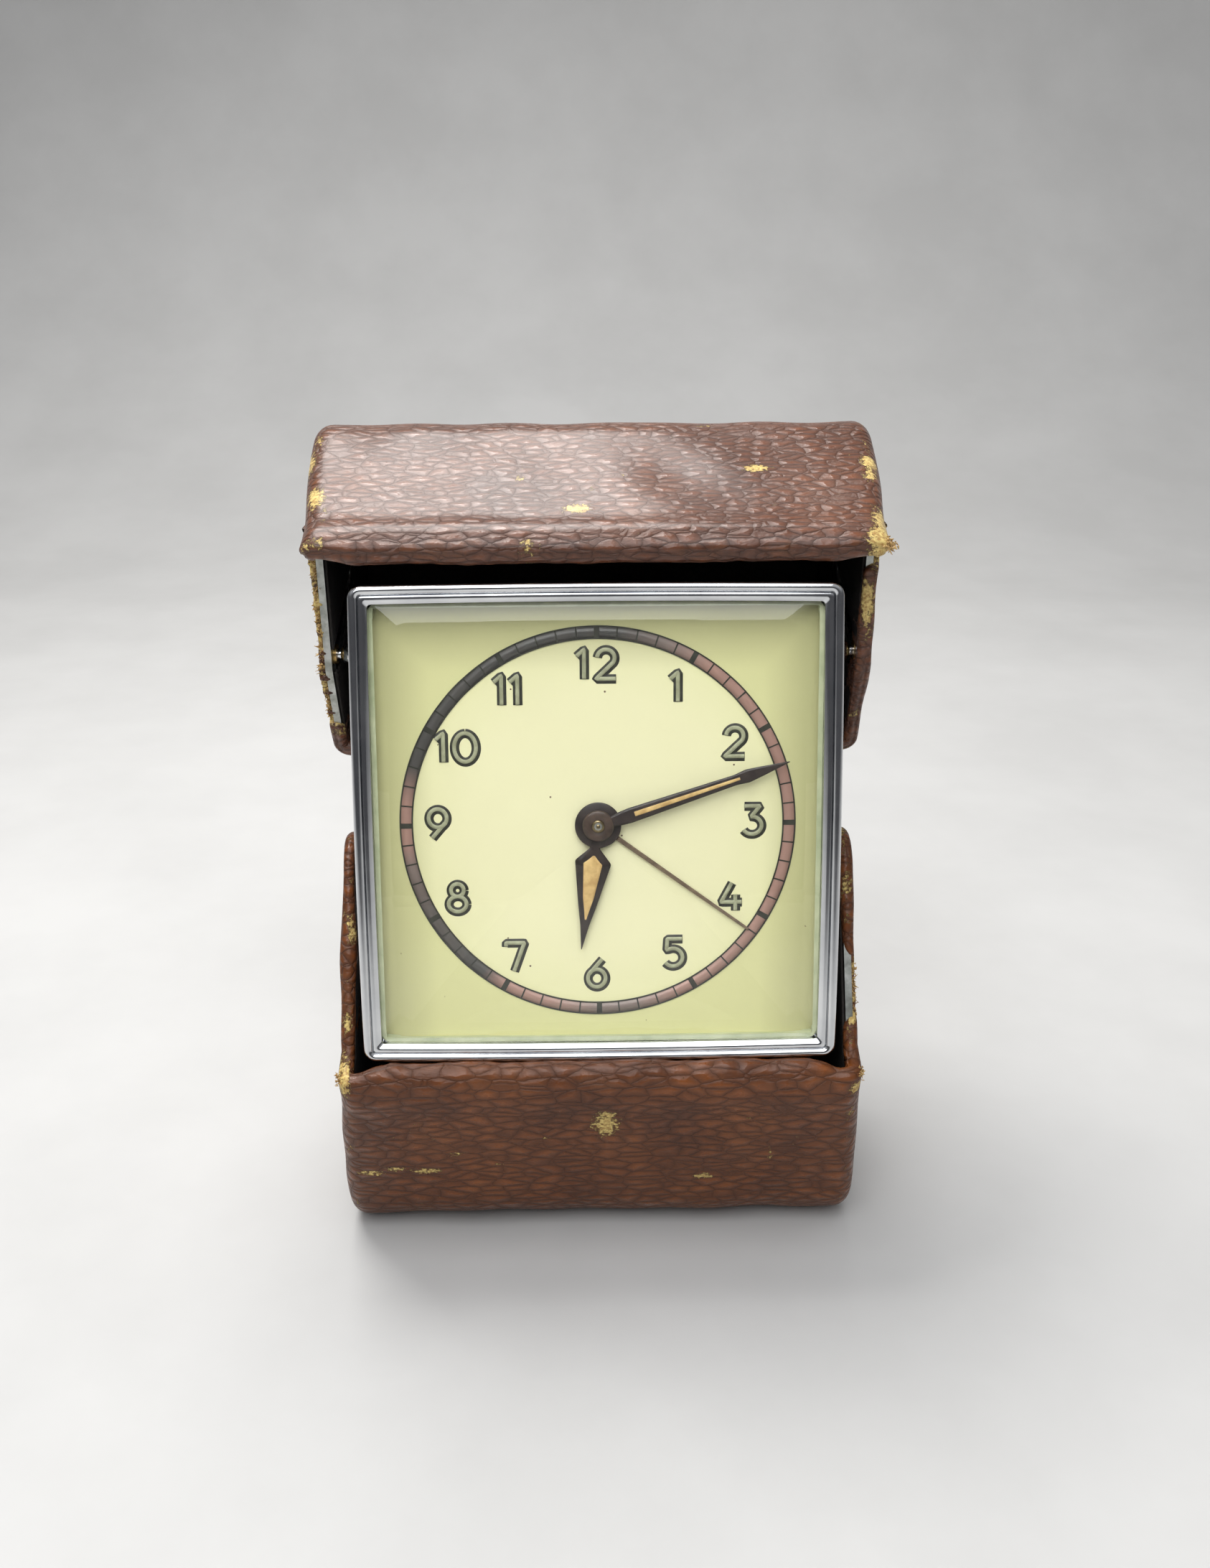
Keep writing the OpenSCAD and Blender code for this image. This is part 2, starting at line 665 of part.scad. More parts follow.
// Hands: a boss on the tube and a tapered blade
module blade(len, angle, widths) {
    rotate(-angle) polygon(concat(
        [for (w = widths) [w[1] / 2, w[0] * len]],
        [for (i = [len(widths) - 1 : -1 : 0]) [-widths[i][1] / 2, widths[i][0] * len]]));
}
hour_w = 4.1;
minute_w = 1.5;
alarm_w = 0.5;
hour_blade_shares = [[0, 0.35], [0.18, 0.6], [0.3, 1], [0.97, 0.08], [1, 0.02]];
minute_blade_shares = [[0, 0.8], [0.2, 1], [0.72, 0.8], [0.8, 1], [0.88, 0.8], [1, 0.05]];
module hand(y, len, angle, shares, width, boss_r, bore) {
    difference() {
        lay(y, hand_t) union() {
            blade(len, angle, [for (s = shares) [s[0], s[1] * width]]);
            circle(r = boss_r, $fn = rough);
        }
        rod(centre_at, bore, y - cut, hand_t + 2 * cut);
    }
}
hour_boss_r = 2.7;
minute_boss_r = 2.1;
alarm_boss_r = 2.1;
module minute_hand() {
    color("black") place_clock()
        hand(minute_hand_y, minute_hand_len, minute_angle, minute_blade_shares, minute_w, minute_boss_r, cannon_r);
}
module hour_hand() {
    color("black") place_clock()
        hand(hour_hand_y, hour_hand_len, hour_angle, hour_blade_shares, hour_w, hour_boss_r, hour_tube_r);
}
module alarm_hand() {
    color(brass) place_clock()
        hand(alarm_hand_y, alarm_hand_len, alarm_angle, [[0, 1], [1, 0.6]], alarm_w, alarm_boss_r, alarm_tube_r);
}

// Motion work: coaxial tubes at the dial's centre and one arbor beside them
module tube(r, bore, y, len) {
    difference() {
        rod(centre_at, r, y, len);
        rod(centre_at, bore, y - cut, len + 2 * cut);
    }
}
module centre_arbor() {
    color(brass) place_clock() {
        front = crystal_y + crystal_t + run_gap;
        rod(centre_at, arbor_r, front, clock_depth + knob_gap - front);
    }
}
module cannon_pinion() {
    color("gray") place_clock() {
        gear(cannon_n, minute_dir, minute_wheel_y, wheel_t, arbor_r);
        tube(cannon_r, arbor_r, minute_hand_y, minute_wheel_y - minute_hand_y);
    }
}
module minute_wheel() {
    color(brass) place_clock() difference() {
        at_dial(minute_at) {
            gear(minute_n, meshing(minute_n, minute_dir), minute_wheel_y, wheel_t, 0);
            gear(minute_pinion_n, minute_dir + half_turn, hour_wheel_y, minute_wheel_y - hour_wheel_y, 0);
        }
        rod(minute_at, arbor_r + run_gap, hour_wheel_y - cut, minute_wheel_y);
    }
}
module hour_wheel() {
    color(brass) place_clock() {
        gear(hour_n, meshing(hour_n, minute_dir + half_turn), hour_wheel_y, wheel_t, cannon_r + run_gap);
        tube(hour_tube_r, cannon_r + run_gap, hour_hand_y, hour_wheel_y - hour_hand_y);
    }
}
module alarm_wheel() {
    color(brass) place_clock() {
        gear(alarm_n, alarm_set_dir, alarm_wheel_y, wheel_t, hour_tube_r + run_gap);
        tube(alarm_tube_r, hour_tube_r + run_gap, alarm_hand_y, alarm_wheel_y - alarm_hand_y);
    }
}
module alarm_set_arbor() {
    color("gray") place_clock() {
        at_dial(alarm_set_at)
            gear(alarm_set_n, meshing(alarm_set_n, alarm_set_dir), alarm_wheel_y, wheel_t, 0);
        rod(alarm_set_at, set_arbor_r, alarm_wheel_y + wheel_t, clock_depth + knob_gap - alarm_wheel_y - wheel_t);
    }
}

// Knurled knobs on the back
knurl_n = 18;
knurl_depth = 0.25;
hand_knob_r = 3;
alarm_knob_r = 2.6;
module knob(at, r) {
    y = clock_depth + knob_gap;
    at_dial(at) lay(y, knob_h) polygon([for (k = [0 : 2 * knurl_n - 1])
        let (a = half_turn * k / knurl_n, q = r - (k % 2) * knurl_depth) [q * cos(a), q * sin(a)]]);
}
module hand_set_knob() {
    color(brass) place_clock() knob(centre_at, hand_knob_r);
}
module alarm_set_knob() {
    color(brass) place_clock() knob(alarm_set_at, alarm_knob_r);
}

// Movement plates with a hole for every arbor that passes or runs in them
plate_w = case_w - 2 * case_wall - 2 * plate_gap;
pillar_inset = 2;
pillar_at = plate_w / 2 - pillar_inset;
pillar_r = 1.3;
running = [third_at, fourth_at, escape_at, pallet_at, balance_at, star_at, hammer_at];
module plate(y) {
    difference() {
        lay(y, plate_t) square(plate_w, center = true);
        for (p = running) rod(p, arbor_r / 2 + run_gap, y - cut, plate_t + 2 * cut);
        for (p = [barrel_at, alarm_barrel_at]) rod(p, winding_r + run_gap, y - cut, plate_t + 2 * cut);
        rod(alarm_set_at, set_arbor_r + run_gap, y - cut, plate_t + 2 * cut);
        rod(centre_at, arbor_r + run_gap, y - cut, plate_t + 2 * cut);
    }
}
module front_plate() {
    color(brass) place_clock() {
        plate(front_plate_y);
        rod(minute_at, arbor_r, hour_wheel_y, front_plate_y - hour_wheel_y);
    }
}
module back_plate() {
    color(brass) place_clock() difference() {
        plate(back_plate_y);
        rod(stop_at, stop_r + run_gap, back_plate_y - cut, plate_t + 2 * cut);
        rod(cock_screw_at, arbor_r, back_plate_y - cut, plate_t + 2 * cut);
    }
}
module plate_pillars() {
    color(brass) place_clock() corner_pairs(pillar_at) {
        rod(centre_at, pillar_r, front_plate_y + plate_t, back_plate_y - front_plate_y - plate_t);
        rod(centre_at, pillar_r, dial_y + dial_t, front_plate_y - dial_y - dial_t);
        difference() {
            rod(centre_at, pillar_r, back_plate_y + plate_t, back_y - back_plate_y - plate_t);
            rod(centre_at, screw_r, back_plate_y, clock_depth - back_plate_y);
        }
    }
}

// Barrels: an open toothed drum, a spiral spring and a winding arbor with its key
drum_wall = 0.5;
teeth_t = 0.5;
spring_band = 0.22;
spring_turns = 6;
module barrel(at, drum_r, n, dir) {
    difference() {
        union() {
            rod(at, drum_r, barrel_y, barrel_h, fine);
            at_dial(at) gear(n, dir, barrel_teeth_y, teeth_t, 0);
        }
        rod(at, drum_r - drum_wall, barrel_y - cut, barrel_teeth_y - barrel_y + cut, fine);
        rod(at, winding_r + run_gap, barrel_y - cut, barrel_h + 2 * cut);
    }
}
module mainspring(at, drum_r) {
    at_dial(at) lay(barrel_y, barrel_teeth_y - barrel_y - pass_gap)
        spiral(winding_r + spring_band, drum_r - drum_wall - spring_band, spring_turns, spring_band);
}
module winding_arbor(at) {
    rod(at, winding_r, front_plate_y, clock_depth + knob_gap - front_plate_y);
}
module wing_key(at, r) {
    hub_r = 1.5 * winding_r;
    wing_t = 1.1;
    base_h = key_h / 3;
    y = clock_depth + knob_gap;
    rod(at, hub_r, y, base_h);
    at_dial(at) for (side = [-1, 1]) translate([side * (r - base_h), y + key_h - base_h, -wing_t / 2])
        cylinder(r = base_h, h = wing_t, $fn = fine);
    at_dial(at) translate([-(r - base_h), y + base_h / 2, -wing_t / 2])
        cube([2 * (r - base_h), key_h - base_h, wing_t]);
}
module time_barrel() {
    color(brass) place_clock() barrel(barrel_at, time_drum_r, barrel_n, barrel_dir + half_turn);
}
module time_mainspring() {
    color("steelblue") place_clock() mainspring(barrel_at, time_drum_r);
}
module time_winding_arbor() {
    color("gray") place_clock() winding_arbor(barrel_at);
}
module time_key() {
    color(brass) place_clock() wing_key(barrel_at, time_key_r);
}
module alarm_barrel() {
    color(brass) place_clock() barrel(alarm_barrel_at, alarm_drum_r, alarm_barrel_n, star_dir);
}
module alarm_mainspring() {
    color("steelblue") place_clock() mainspring(alarm_barrel_at, alarm_drum_r);
}
module alarm_winding_arbor() {
    color("gray") place_clock() winding_arbor(alarm_barrel_at);
}
module alarm_key() {
    color(brass) place_clock() wing_key(alarm_barrel_at, alarm_key_r);
}

// Going train: each wheel has a pinion and runs on its own arbor
module train_arbor(at, r) {
    rod(at, r, front_plate_y + plate_t + run_gap, back_plate_y - front_plate_y - plate_t - 2 * run_gap);
    rod(at, arbor_r / 2, front_plate_y, back_plate_y + plate_t - front_plate_y);
}
module centre_wheel() {
    color(brass) place_clock() {
        gear(centre_n, third_dir, centre_wheel_y, wheel_t, arbor_r + run_gap);
        gear(centre_pinion_n, meshing(centre_pinion_n, barrel_dir + half_turn), barrel_teeth_y - pass_gap,
            centre_wheel_y - barrel_teeth_y + pass_gap, arbor_r + run_gap);
    }
}
module train_wheel(at, n, y, phase, pinion_y, pinion_phase) {
    at_dial(at) {
        gear(n, phase, y, wheel_t, 0);
        gear(pinion_n, pinion_phase, pinion_y, wheel_t + pass_gap, 0);
    }
    train_arbor(at, arbor_r);
}
module third_wheel() {
    color(brass) place_clock() train_wheel(third_at, third_n, third_wheel_y, fourth_dir,
        centre_wheel_y - pass_gap / 2, meshing(pinion_n, third_dir));
}
module fourth_wheel() {
    color(brass) place_clock() train_wheel(fourth_at, fourth_n, fourth_wheel_y, escape_dir,
        third_wheel_y - pass_gap / 2, meshing(pinion_n, fourth_dir));
}
// Pointed escape teeth
escape_shares = [[0, 0.74], [0.34, 1], [0.42, 1], [0.3, 0.74]];
module toothed_star(n, r) {
    polygon([for (k = [0 : n - 1]) for (t = escape_shares)
        let (a = (k + t[0]) * 360 / n, q = t[1] * r) [q * cos(a), q * sin(a)]]);
}
module escape_wheel() {
    color(brass) place_clock() {
        at_dial(escape_at) {
            lay(escape_wheel_y, wheel_t) toothed_star(escape_n, escape_r);
            gear(pinion_n, meshing(pinion_n, escape_dir), fourth_wheel_y - pass_gap / 2, wheel_t + pass_gap, 0);
        }
        train_arbor(escape_at, arbor_r);
    }
}

// Anchor with two pins outside the escape wheel, and a fork towards the balance
anchor_w = 0.8;
pallet_reach = 1.3 * escape_r;
fork_len = 0.55 * balance_r;
anchor_y = escape_wheel_y - 2 * wheel_t;
module pallet_lever() {
    color("gray") place_clock() {
        at_dial(pallet_at) lay(anchor_y, wheel_t) {
            rotate(pallet_dir + 90) square([pallet_reach, anchor_w], center = true);
            rotate(balance_dir) translate([0, -anchor_w / 2]) square([fork_len, anchor_w]);
        }
        for (side = [-1, 1]) rod(step_to(pallet_at, side * pallet_reach / 2, pallet_dir + 90),
            anchor_w / 4, anchor_y + wheel_t, 2 * wheel_t);
        train_arbor(pallet_at, arbor_r);
    }
}
rim_w = 0.6;
rim_h = 0.6;
module balance_wheel() {
    color(brass) place_clock() {
        at_dial(balance_at) lay(balance_y, rim_h) {
            difference() {
                circle(r = balance_r, $fn = fine);
                circle(r = balance_r - rim_w, $fn = fine);
            }
            square([2 * balance_r - rim_w, rim_w], center = true);
        }
        train_arbor(balance_at, arbor_r);
    }
}
hair_band = 0.12;
hair_turns = 4;
module hairspring() {
    color("steelblue") place_clock() at_dial(balance_at) lay(hairspring_y, wheel_t / 2)
        spiral(arbor_r + hair_band / 2, balance_r / 2, hair_turns, hair_band);
}
cock_w = 2.2;
cock_screw_at = step_to(balance_at, 1.2 * cock_w, 0);
cock_boss_r = 0.7;
module balance_cock() {
    y = back_plate_y + plate_t;
    color(brass) place_clock() difference() {
        union() {
            at_dial(balance_at) lay(y, plate_t) {
                circle(r = cock_w, $fn = fine);
                translate([0, -cock_w / 2]) square([1.6 * cock_w, cock_w]);
            }
            rod(balance_at, cock_boss_r, y + plate_t, plate_t * 3 / 4, fine);
        }
        rod(balance_at, arbor_r / 2 + run_gap, y - cut, 2 * plate_t + 2 * cut);
        rod(cock_screw_at, arbor_r, y - cut, plate_t + 2 * cut);
    }
}
module cock_screws() {
    y = back_plate_y + 2 * plate_t;
    color("gray") place_clock() {
        rod(cock_screw_at, screw_r, y, screw_head_t);
        rod(cock_screw_at, arbor_r, back_plate_y, 2 * plate_t);
    }
}
collar_r = 1.1;
module regulator_lever() {
    y = back_plate_y + 2 * plate_t + run_gap;
    color("gray") place_clock() difference() {
        at_dial(balance_at) lay(y, plate_t / 2) {
            circle(r = collar_r, $fn = fine);
            rotate(90) translate([0, -rim_w / 2]) square([1.6 * cock_w, rim_w]);
        }
        rod(balance_at, cock_boss_r + run_gap, y - cut, plate_t + 2 * cut, fine);
    }
}

// Alarm work: a star wheel rocks the hammer, which strikes the gong on the back plate
module alarm_star_wheel() {
    color(brass) place_clock() {
        at_dial(star_at) {
            lay(star_y, wheel_t) toothed_star(star_n, star_r);
            gear(pinion_n, meshing(pinion_n, star_dir), barrel_teeth_y, teeth_t, 0);
        }
        train_arbor(star_at, arbor_r);
    }
}
hammer_len = 2 * balance_r;
hammer_head_r = 1.2;
hammer_y = 11.9;
hammer_arm_dir = 180;
hammer_head_at = step_to(hammer_at, hammer_len, hammer_arm_dir);
// How far the head travels before it meets the gong
hammer_swing = 0.8;
pallet_share = 0.65;
module alarm_hammer() {
    color("gray") place_clock() {
        at_dial(hammer_at) lay(hammer_y, wheel_t) {
            rotate(hammer_arm_dir) translate([0, -anchor_w / 2]) square([hammer_len, anchor_w]);
            rotate(hammer_dir + 90) square([pallet_reach, anchor_w], center = true);
            for (side = [-1, 1]) rotate(hammer_dir + half_turn)
                translate([0, (side * (pallet_reach - anchor_w) - anchor_w) / 2])
                square([pallet_share * star_r, anchor_w]);
        }
        rod(hammer_head_at, hammer_head_r, hammer_y - wheel_t, 2 * wheel_t);
        train_arbor(hammer_at, arbor_r);
    }
}
gong_len = 4.8;
gong_w = 1;
gong_t = 0.5;
gong_post_r = 0.8;
module alarm_gong() {
    z = hammer_head_at[1] + hammer_head_r + hammer_swing;
    y = hammer_y - pass_gap / 2;
    color(brass) place_clock() {
        translate([hammer_head_at[0] - gong_len / 2, y, z]) cube([gong_len, gong_w, gong_t]);
        rod([hammer_head_at[0] - gong_len / 2, z + gong_t / 2], gong_post_r, y, back_plate_y - y);
    }
}
stop_r = 1.1;
stop_travel = 1.5;
stop_head_r = 1.8;
module alarm_stop_button() {
    color(brass) place_clock() {
        rod(stop_at, stop_r, back_plate_y, clock_depth + stop_travel - back_plate_y);
        rod(stop_at, stop_head_r, clock_depth + stop_travel, screw_head_t * 2);
    }
}

bezel();
crystal();
dial_spacer();
case_body();
back_cover();
back_screws();
dial_plate();
chapter_ring();
dial_numerals();
upper_pivot_studs();
lower_pivot_studs();
minute_hand();
hour_hand();
alarm_hand();
centre_arbor();
cannon_pinion();
minute_wheel();
hour_wheel();
alarm_wheel();
hand_set_knob();
alarm_set_arbor();
alarm_set_knob();
front_plate();
back_plate();
plate_pillars();
cock_screws();
time_barrel();
time_mainspring();
time_winding_arbor();
time_key();
centre_wheel();
third_wheel();
fourth_wheel();
escape_wheel();
pallet_lever();
balance_wheel();
hairspring();
balance_cock();
regulator_lever();
alarm_barrel();
alarm_mainspring();
alarm_winding_arbor();
alarm_key();
alarm_star_wheel();
alarm_hammer();
alarm_gong();
alarm_stop_button();
upper_slide_rollers();
lower_slide_rollers();
upper_shell_core();
upper_leather_cover();
upper_lining();
lower_shell_core();
lower_leather_cover();
lower_lining();
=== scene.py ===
# %% [markdown]
# # Folding travel alarm clock, dressed
# The exact model of the clock is loaded first and never moved. Everything below is made in
# the same frame, in metres, so a piece goes where the joints and nodes of the model say.

import json
import math

import bmesh
import bpy
import numpy as np
from mathutils import Matrix, Vector


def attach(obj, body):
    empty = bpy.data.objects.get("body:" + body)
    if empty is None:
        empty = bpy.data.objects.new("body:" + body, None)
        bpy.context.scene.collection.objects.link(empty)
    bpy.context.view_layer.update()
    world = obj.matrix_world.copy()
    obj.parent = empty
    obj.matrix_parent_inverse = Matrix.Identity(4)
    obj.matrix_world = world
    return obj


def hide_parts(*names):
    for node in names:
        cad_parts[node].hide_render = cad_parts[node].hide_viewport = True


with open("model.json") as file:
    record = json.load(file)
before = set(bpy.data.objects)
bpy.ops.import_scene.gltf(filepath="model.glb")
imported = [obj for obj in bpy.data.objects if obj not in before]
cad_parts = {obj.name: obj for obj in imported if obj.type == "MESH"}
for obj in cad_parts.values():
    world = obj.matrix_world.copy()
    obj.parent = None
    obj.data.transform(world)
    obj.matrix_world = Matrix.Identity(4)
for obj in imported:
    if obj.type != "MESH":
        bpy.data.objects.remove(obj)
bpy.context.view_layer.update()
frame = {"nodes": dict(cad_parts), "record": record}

# %% [markdown]
# The clock leans on its stand. Three maps turn the sizes that a maker would write on a
# drawing, in millimetres, into points of the frame: one for the clock, one for each shell.
# They are read off the joints, so they stay true if the stand changes.

# %% Maps from drawing to frame
MM = 0.001
HAND_DEPTH = 2.15  # from the dial's zero depth back to the joint of the hands
STUD_OFFSET = 2.1  # from the middle of a shell's depth to its studs
UPPER_OPEN, LOWER_OPEN = 3.4, -1.5  # from the seam to the studs when the case is open
X = np.array([1.0, 0.0, 0.0])
joints = {j["name"]: j for j in frame["record"]["behaviour"]["joints"]}
dial_axis = np.array(joints["hands_turn"]["axis"])
dial_up = np.cross(X, dial_axis)
dial_centre = np.array(joints["hands_turn"]["pos_m"]) - HAND_DEPTH * MM * dial_axis


def on_dial(x, depth, up):
    """Dial centre + x to the right + depth towards the back + up the dial, in millimetres."""
    offset = x[..., None] * X + depth[..., None] * dial_axis + up[..., None] * dial_up
    return dial_centre + MM * offset


def shell_map(tilt, slide, open_d, side):
    """Returns the map stud + x X + (s - open_d) S + (v + STUD_OFFSET) V, and the map back. S is
    the slide's direction turned round, and V is S turned a quarter about X, which is opposite
    for the lower shell."""
    stud = np.array(joints[tilt]["pos_m"])
    along = -np.array(joints[slide]["axis"])
    across = side * np.cross(X, along)
    axes = np.stack([X, along, across])
    shift = np.array([0, open_d, -STUD_OFFSET])

    def place(p):
        return stud + MM * (p - shift) @ axes

    def take_back(q):
        return (q - stud) / MM @ axes.T + shift

    return place, take_back


upper_row, upper_back = shell_map("upper_tilt", "upper_slide", UPPER_OPEN, 1)
lower_row, lower_back = shell_map("lower_tilt", "lower_slide", LOWER_OPEN, -1)
print("dial centre", dial_centre.round(5))

# %% [markdown]
# ## The view
# The photograph was taken a little above the dial, straight on. The camera is set from the
# dial's own directions: its place is written as right, up the dial and out of the dial.

# %% Camera
LENS, SENSOR = 32.97, 36
CAMERA_AT = (-1.9, 35.7, 173.8)  # right, up the dial and out of it, in millimetres
CAMERA_TURN = (0.40, 9.81, 0.91)  # roll, pitch and yaw, in degrees
camera_data = bpy.data.cameras.new("camera")
camera_data.lens = LENS
camera_data.sensor_fit = "VERTICAL"
camera_data.sensor_width = camera_data.sensor_height = SENSOR
camera_data.clip_start = 0.005
camera = bpy.data.objects.new("camera", camera_data)
bpy.context.collection.objects.link(camera)
bpy.context.scene.camera = camera
roll, pitch, yaw = (math.radians(a) for a in CAMERA_TURN)
turn = (Matrix.Rotation(roll, 3, "Z") @ Matrix.Rotation(pitch, 3, "X")
        @ Matrix.Rotation(yaw, 3, "Y"))
dial_frame = Matrix((X, dial_up, -dial_axis)).transposed()
spot = on_dial(np.array(CAMERA_AT[0]), np.array(-CAMERA_AT[2]), np.array(CAMERA_AT[1]))
camera.matrix_world = Matrix.Translation(spot) @ (dial_frame @ turn.transposed()).to_4x4()
print("camera at", spot.round(4))

# %% [markdown]
# ## Ways to make a surface
# Every new piece is a grid of points worked out by a formula, a few grids joined along their
# edges, or a ring of such points. The helpers below put whole arrays into a mesh, join the
# shared edges, and turn the faces outwards.

# %% Grid to mesh
PIECES = bpy.data.collections.new("pieces")
bpy.context.scene.collection.children.link(PIECES)
JOIN = 2e-6


def grid_faces(rows, columns, start, wrap_rows, wrap_columns):
    """Quads between neighbours of a rows by columns grid whose points are numbered from start."""
    i = np.arange(rows if wrap_rows else rows - 1)[:, None]
    j = np.arange(columns if wrap_columns else columns - 1)[None, :]
    a, b = i * columns, (i + 1) % rows * columns
    c, d = j, (j + 1) % columns
    return np.stack([a + c, a + d, b + d, b + c], -1).reshape(-1, 4) + start


def build(name, sheets, merge=JOIN, smooth=True):
    """Object from sheets of (points[rows, columns, 3], wrap_rows, wrap_columns). Points closer
    than merge become one, which joins the sheets along their shared edges."""
    points, faces, count = [], [], 0
    for grid, wrap_rows, wrap_columns in sheets:
        faces.append(grid_faces(grid.shape[0], grid.shape[1], count, wrap_rows, wrap_columns))
        points.append(grid.reshape(-1, 3))
        count += grid.shape[0] * grid.shape[1]
    mesh = bpy.data.meshes.new(name)
    mesh.from_pydata(np.concatenate(points), [], np.concatenate(faces).tolist())
    work = bmesh.new()
    work.from_mesh(mesh)
    bmesh.ops.remove_doubles(work, verts=work.verts, dist=merge)
    bmesh.ops.dissolve_degenerate(work, dist=merge / 4, edges=work.edges)
    bmesh.ops.recalc_face_normals(work, faces=work.faces)
    work.to_mesh(mesh)
    work.free()
    mesh.polygons.foreach_set("use_smooth", np.full(len(mesh.polygons), smooth))
    piece = bpy.data.objects.new(name, mesh)
    PIECES.objects.link(piece)
    return piece


def corners(piece):
    """The mesh's points as an array, in metres."""
    co = np.empty(3 * len(piece.data.vertices))
    piece.data.vertices.foreach_get("co", co)
    return co.reshape(-1, 3)


# %% [markdown]
# Thickness and softened edges are modifiers, so the formulas only have to give bare skins.

# %% Modifiers
def add_wall(piece, thickness, offset=-1):
    """Thickens a skin by some millimetres: inwards, or outwards when offset is 1."""
    wall = piece.modifiers.new("wall", "SOLIDIFY")
    wall.thickness = thickness * MM
    wall.offset = offset


def soften(piece, width, angle):
    """Bevel of a width in millimetres on edges sharper than an angle in degrees."""
    edge = piece.modifiers.new("soft edge", "BEVEL")
    edge.width = width * MM
    edge.segments = 2
    edge.limit_method = "ANGLE"
    edge.angle_limit = math.radians(angle)
    edge.harden_normals = True


# %% [markdown]
# ## The leather shells
# Each half of the case is a pressed steel box without a lid. Brown leather is glued over it
# and turned in over the open edge, which gives the fat rounded lip. A cloth over a box could
# be simulated, but a glued skin follows the box exactly, so it is worked out: a band carried
# along the section of the box, two flat cheeks, and a rolled lip along the whole open edge.

# %% Sizes of the shells, in millimetres
UPPER_HALF, LOWER_HALF = 35.6, 33.3  # half widths
SHELL_T = 35.0  # from the front wall to the rear wall
STRAIGHT = 24.5  # length of the walls, from the seam to the crown
FRONT_R, REAR_R = 9.0, 13.0  # the crown's two corners
EDGE_R = 2.2  # rounding between walls and cheeks
WALL = 2.1  # leather, steel and lining together
LEATHER = 0.55  # thickness of the skin
TURN_IN = 3.0  # how far the leather runs back inside the opening
ROLL = WALL / 2
FRONT_V = SHELL_T / 2 - FRONT_R
REAR_V = REAR_R - SHELL_T / 2
FOOT = math.asin((REAR_R - FRONT_R) / (FRONT_V - REAR_V))  # where the two arcs meet
N_STRAIGHT, N_CROWN, N_EDGE, N_FLAT = 44, 20, 8, 110  # points along each stretch
N_CHEEK, N_EAR, N_EAR_ARC = 26, 36, 16


def section(inset, s_front, s_rear):
    """(s, v) along the front wall, round the two arcs of the crown and back along the rear
    wall, for columns of insets and of starts. Arc radius is the corner's radius less inset."""
    t = np.linspace(0, 1, N_STRAIGHT)
    bend = np.linspace(math.pi / 2, FOOT, N_CROWN)[1:]
    heel = np.linspace(FOOT, -math.pi / 2, N_CROWN)
    half = SHELL_T / 2 - inset
    s = [s_front + (STRAIGHT - s_front) * t, STRAIGHT + (FRONT_R - inset) * np.cos(bend),
         STRAIGHT + (REAR_R - inset) * np.cos(heel), STRAIGHT + (s_rear - STRAIGHT) * t[1:]]
    v = [half + 0 * t, FRONT_V + (FRONT_R - inset) * np.sin(bend),
         REAR_V + (REAR_R - inset) * np.sin(heel), -half + 0 * t[1:]]
    return np.concatenate(s, -1), np.concatenate(v, -1)


# %% [markdown]
# Leather pulled round a corner can't be sharp. The band of the section moves inwards along a
# quarter circle at both sides, so that wall and cheek meet in one soft edge.

# %% The edge between wall and cheek
def edge_stations(half, inset, r):
    """Places across the shell as (x, inset there, angle): flat middle, then a quarter round
    x = half - inset - r (1 - sin a), inset + r (1 - cos a) on both sides."""
    a = np.linspace(0, math.pi / 2, N_EDGE)
    x = half - inset - r * (1 - np.sin(a))
    deep = inset + r * (1 - np.cos(a))
    middle = np.linspace(-x[0], x[0], N_FLAT)[1:-1]
    return (np.concatenate([-x[::-1], middle, x]),
            np.concatenate([deep[::-1], 0 * middle + inset, deep]),
            np.concatenate([-a[::-1], 0 * middle, a]))


# %% [markdown]
# The lower shell's cheeks reach past the seam as rounded ears, which carry the tracks of the
# lower studs. The upper shell's cheeks are cut back behind the front lip instead, so that
# they clear the ears. The free edge of a cheek is a curve of its own, and the cheek is ruled
# between that curve and the outline of the section.

# %% Free edges of the cheeks
EAR_AT, EAR_R = np.array([-12.5, -7.5]), 6.0  # centre of the ear's round end, as (s, v)
EAR_FRONT_A, EAR_TIP_A, EAR_REAR_A = 145, 190, 235  # angles on that end, in degrees
NOTCH = np.array([-8.0, -5.5])  # bend in the ear's rear edge
EAR_ROOT = 13.4  # the ear leaves the seam at v = EAR_ROOT and at v = -EAR_ROOT
EAR_SLANT = 1.4  # how much further a slanting edge moves along the seam than across itself
INNER_V = SHELL_T / 2 - WALL
RECESS_V, RECESS_S = -2.0, 6.6  # the upper cheek's edge rises from here to RECESS_S at INNER_V
RECESS_SLANT = 0.08  # what that slope adds to a distance across it


def along(path, count):
    """Points at even distances along a line of straight pieces."""
    path = np.asarray(path, float)
    run = np.concatenate([[0], np.cumsum(np.linalg.norm(np.diff(path, axis=0), axis=1))])
    at = np.linspace(0, run[-1], count)
    return np.stack([np.interp(at, run, path[:, k]) for k in range(path.shape[1])], -1)


def ear_arc(r, a0, a1):
    """Part of the ear's round end, from angle a0 to a1."""
    a = np.radians(np.linspace(a0, a1, N_EAR_ARC))
    return EAR_AT + r * np.stack([np.cos(a), np.sin(a)], -1)


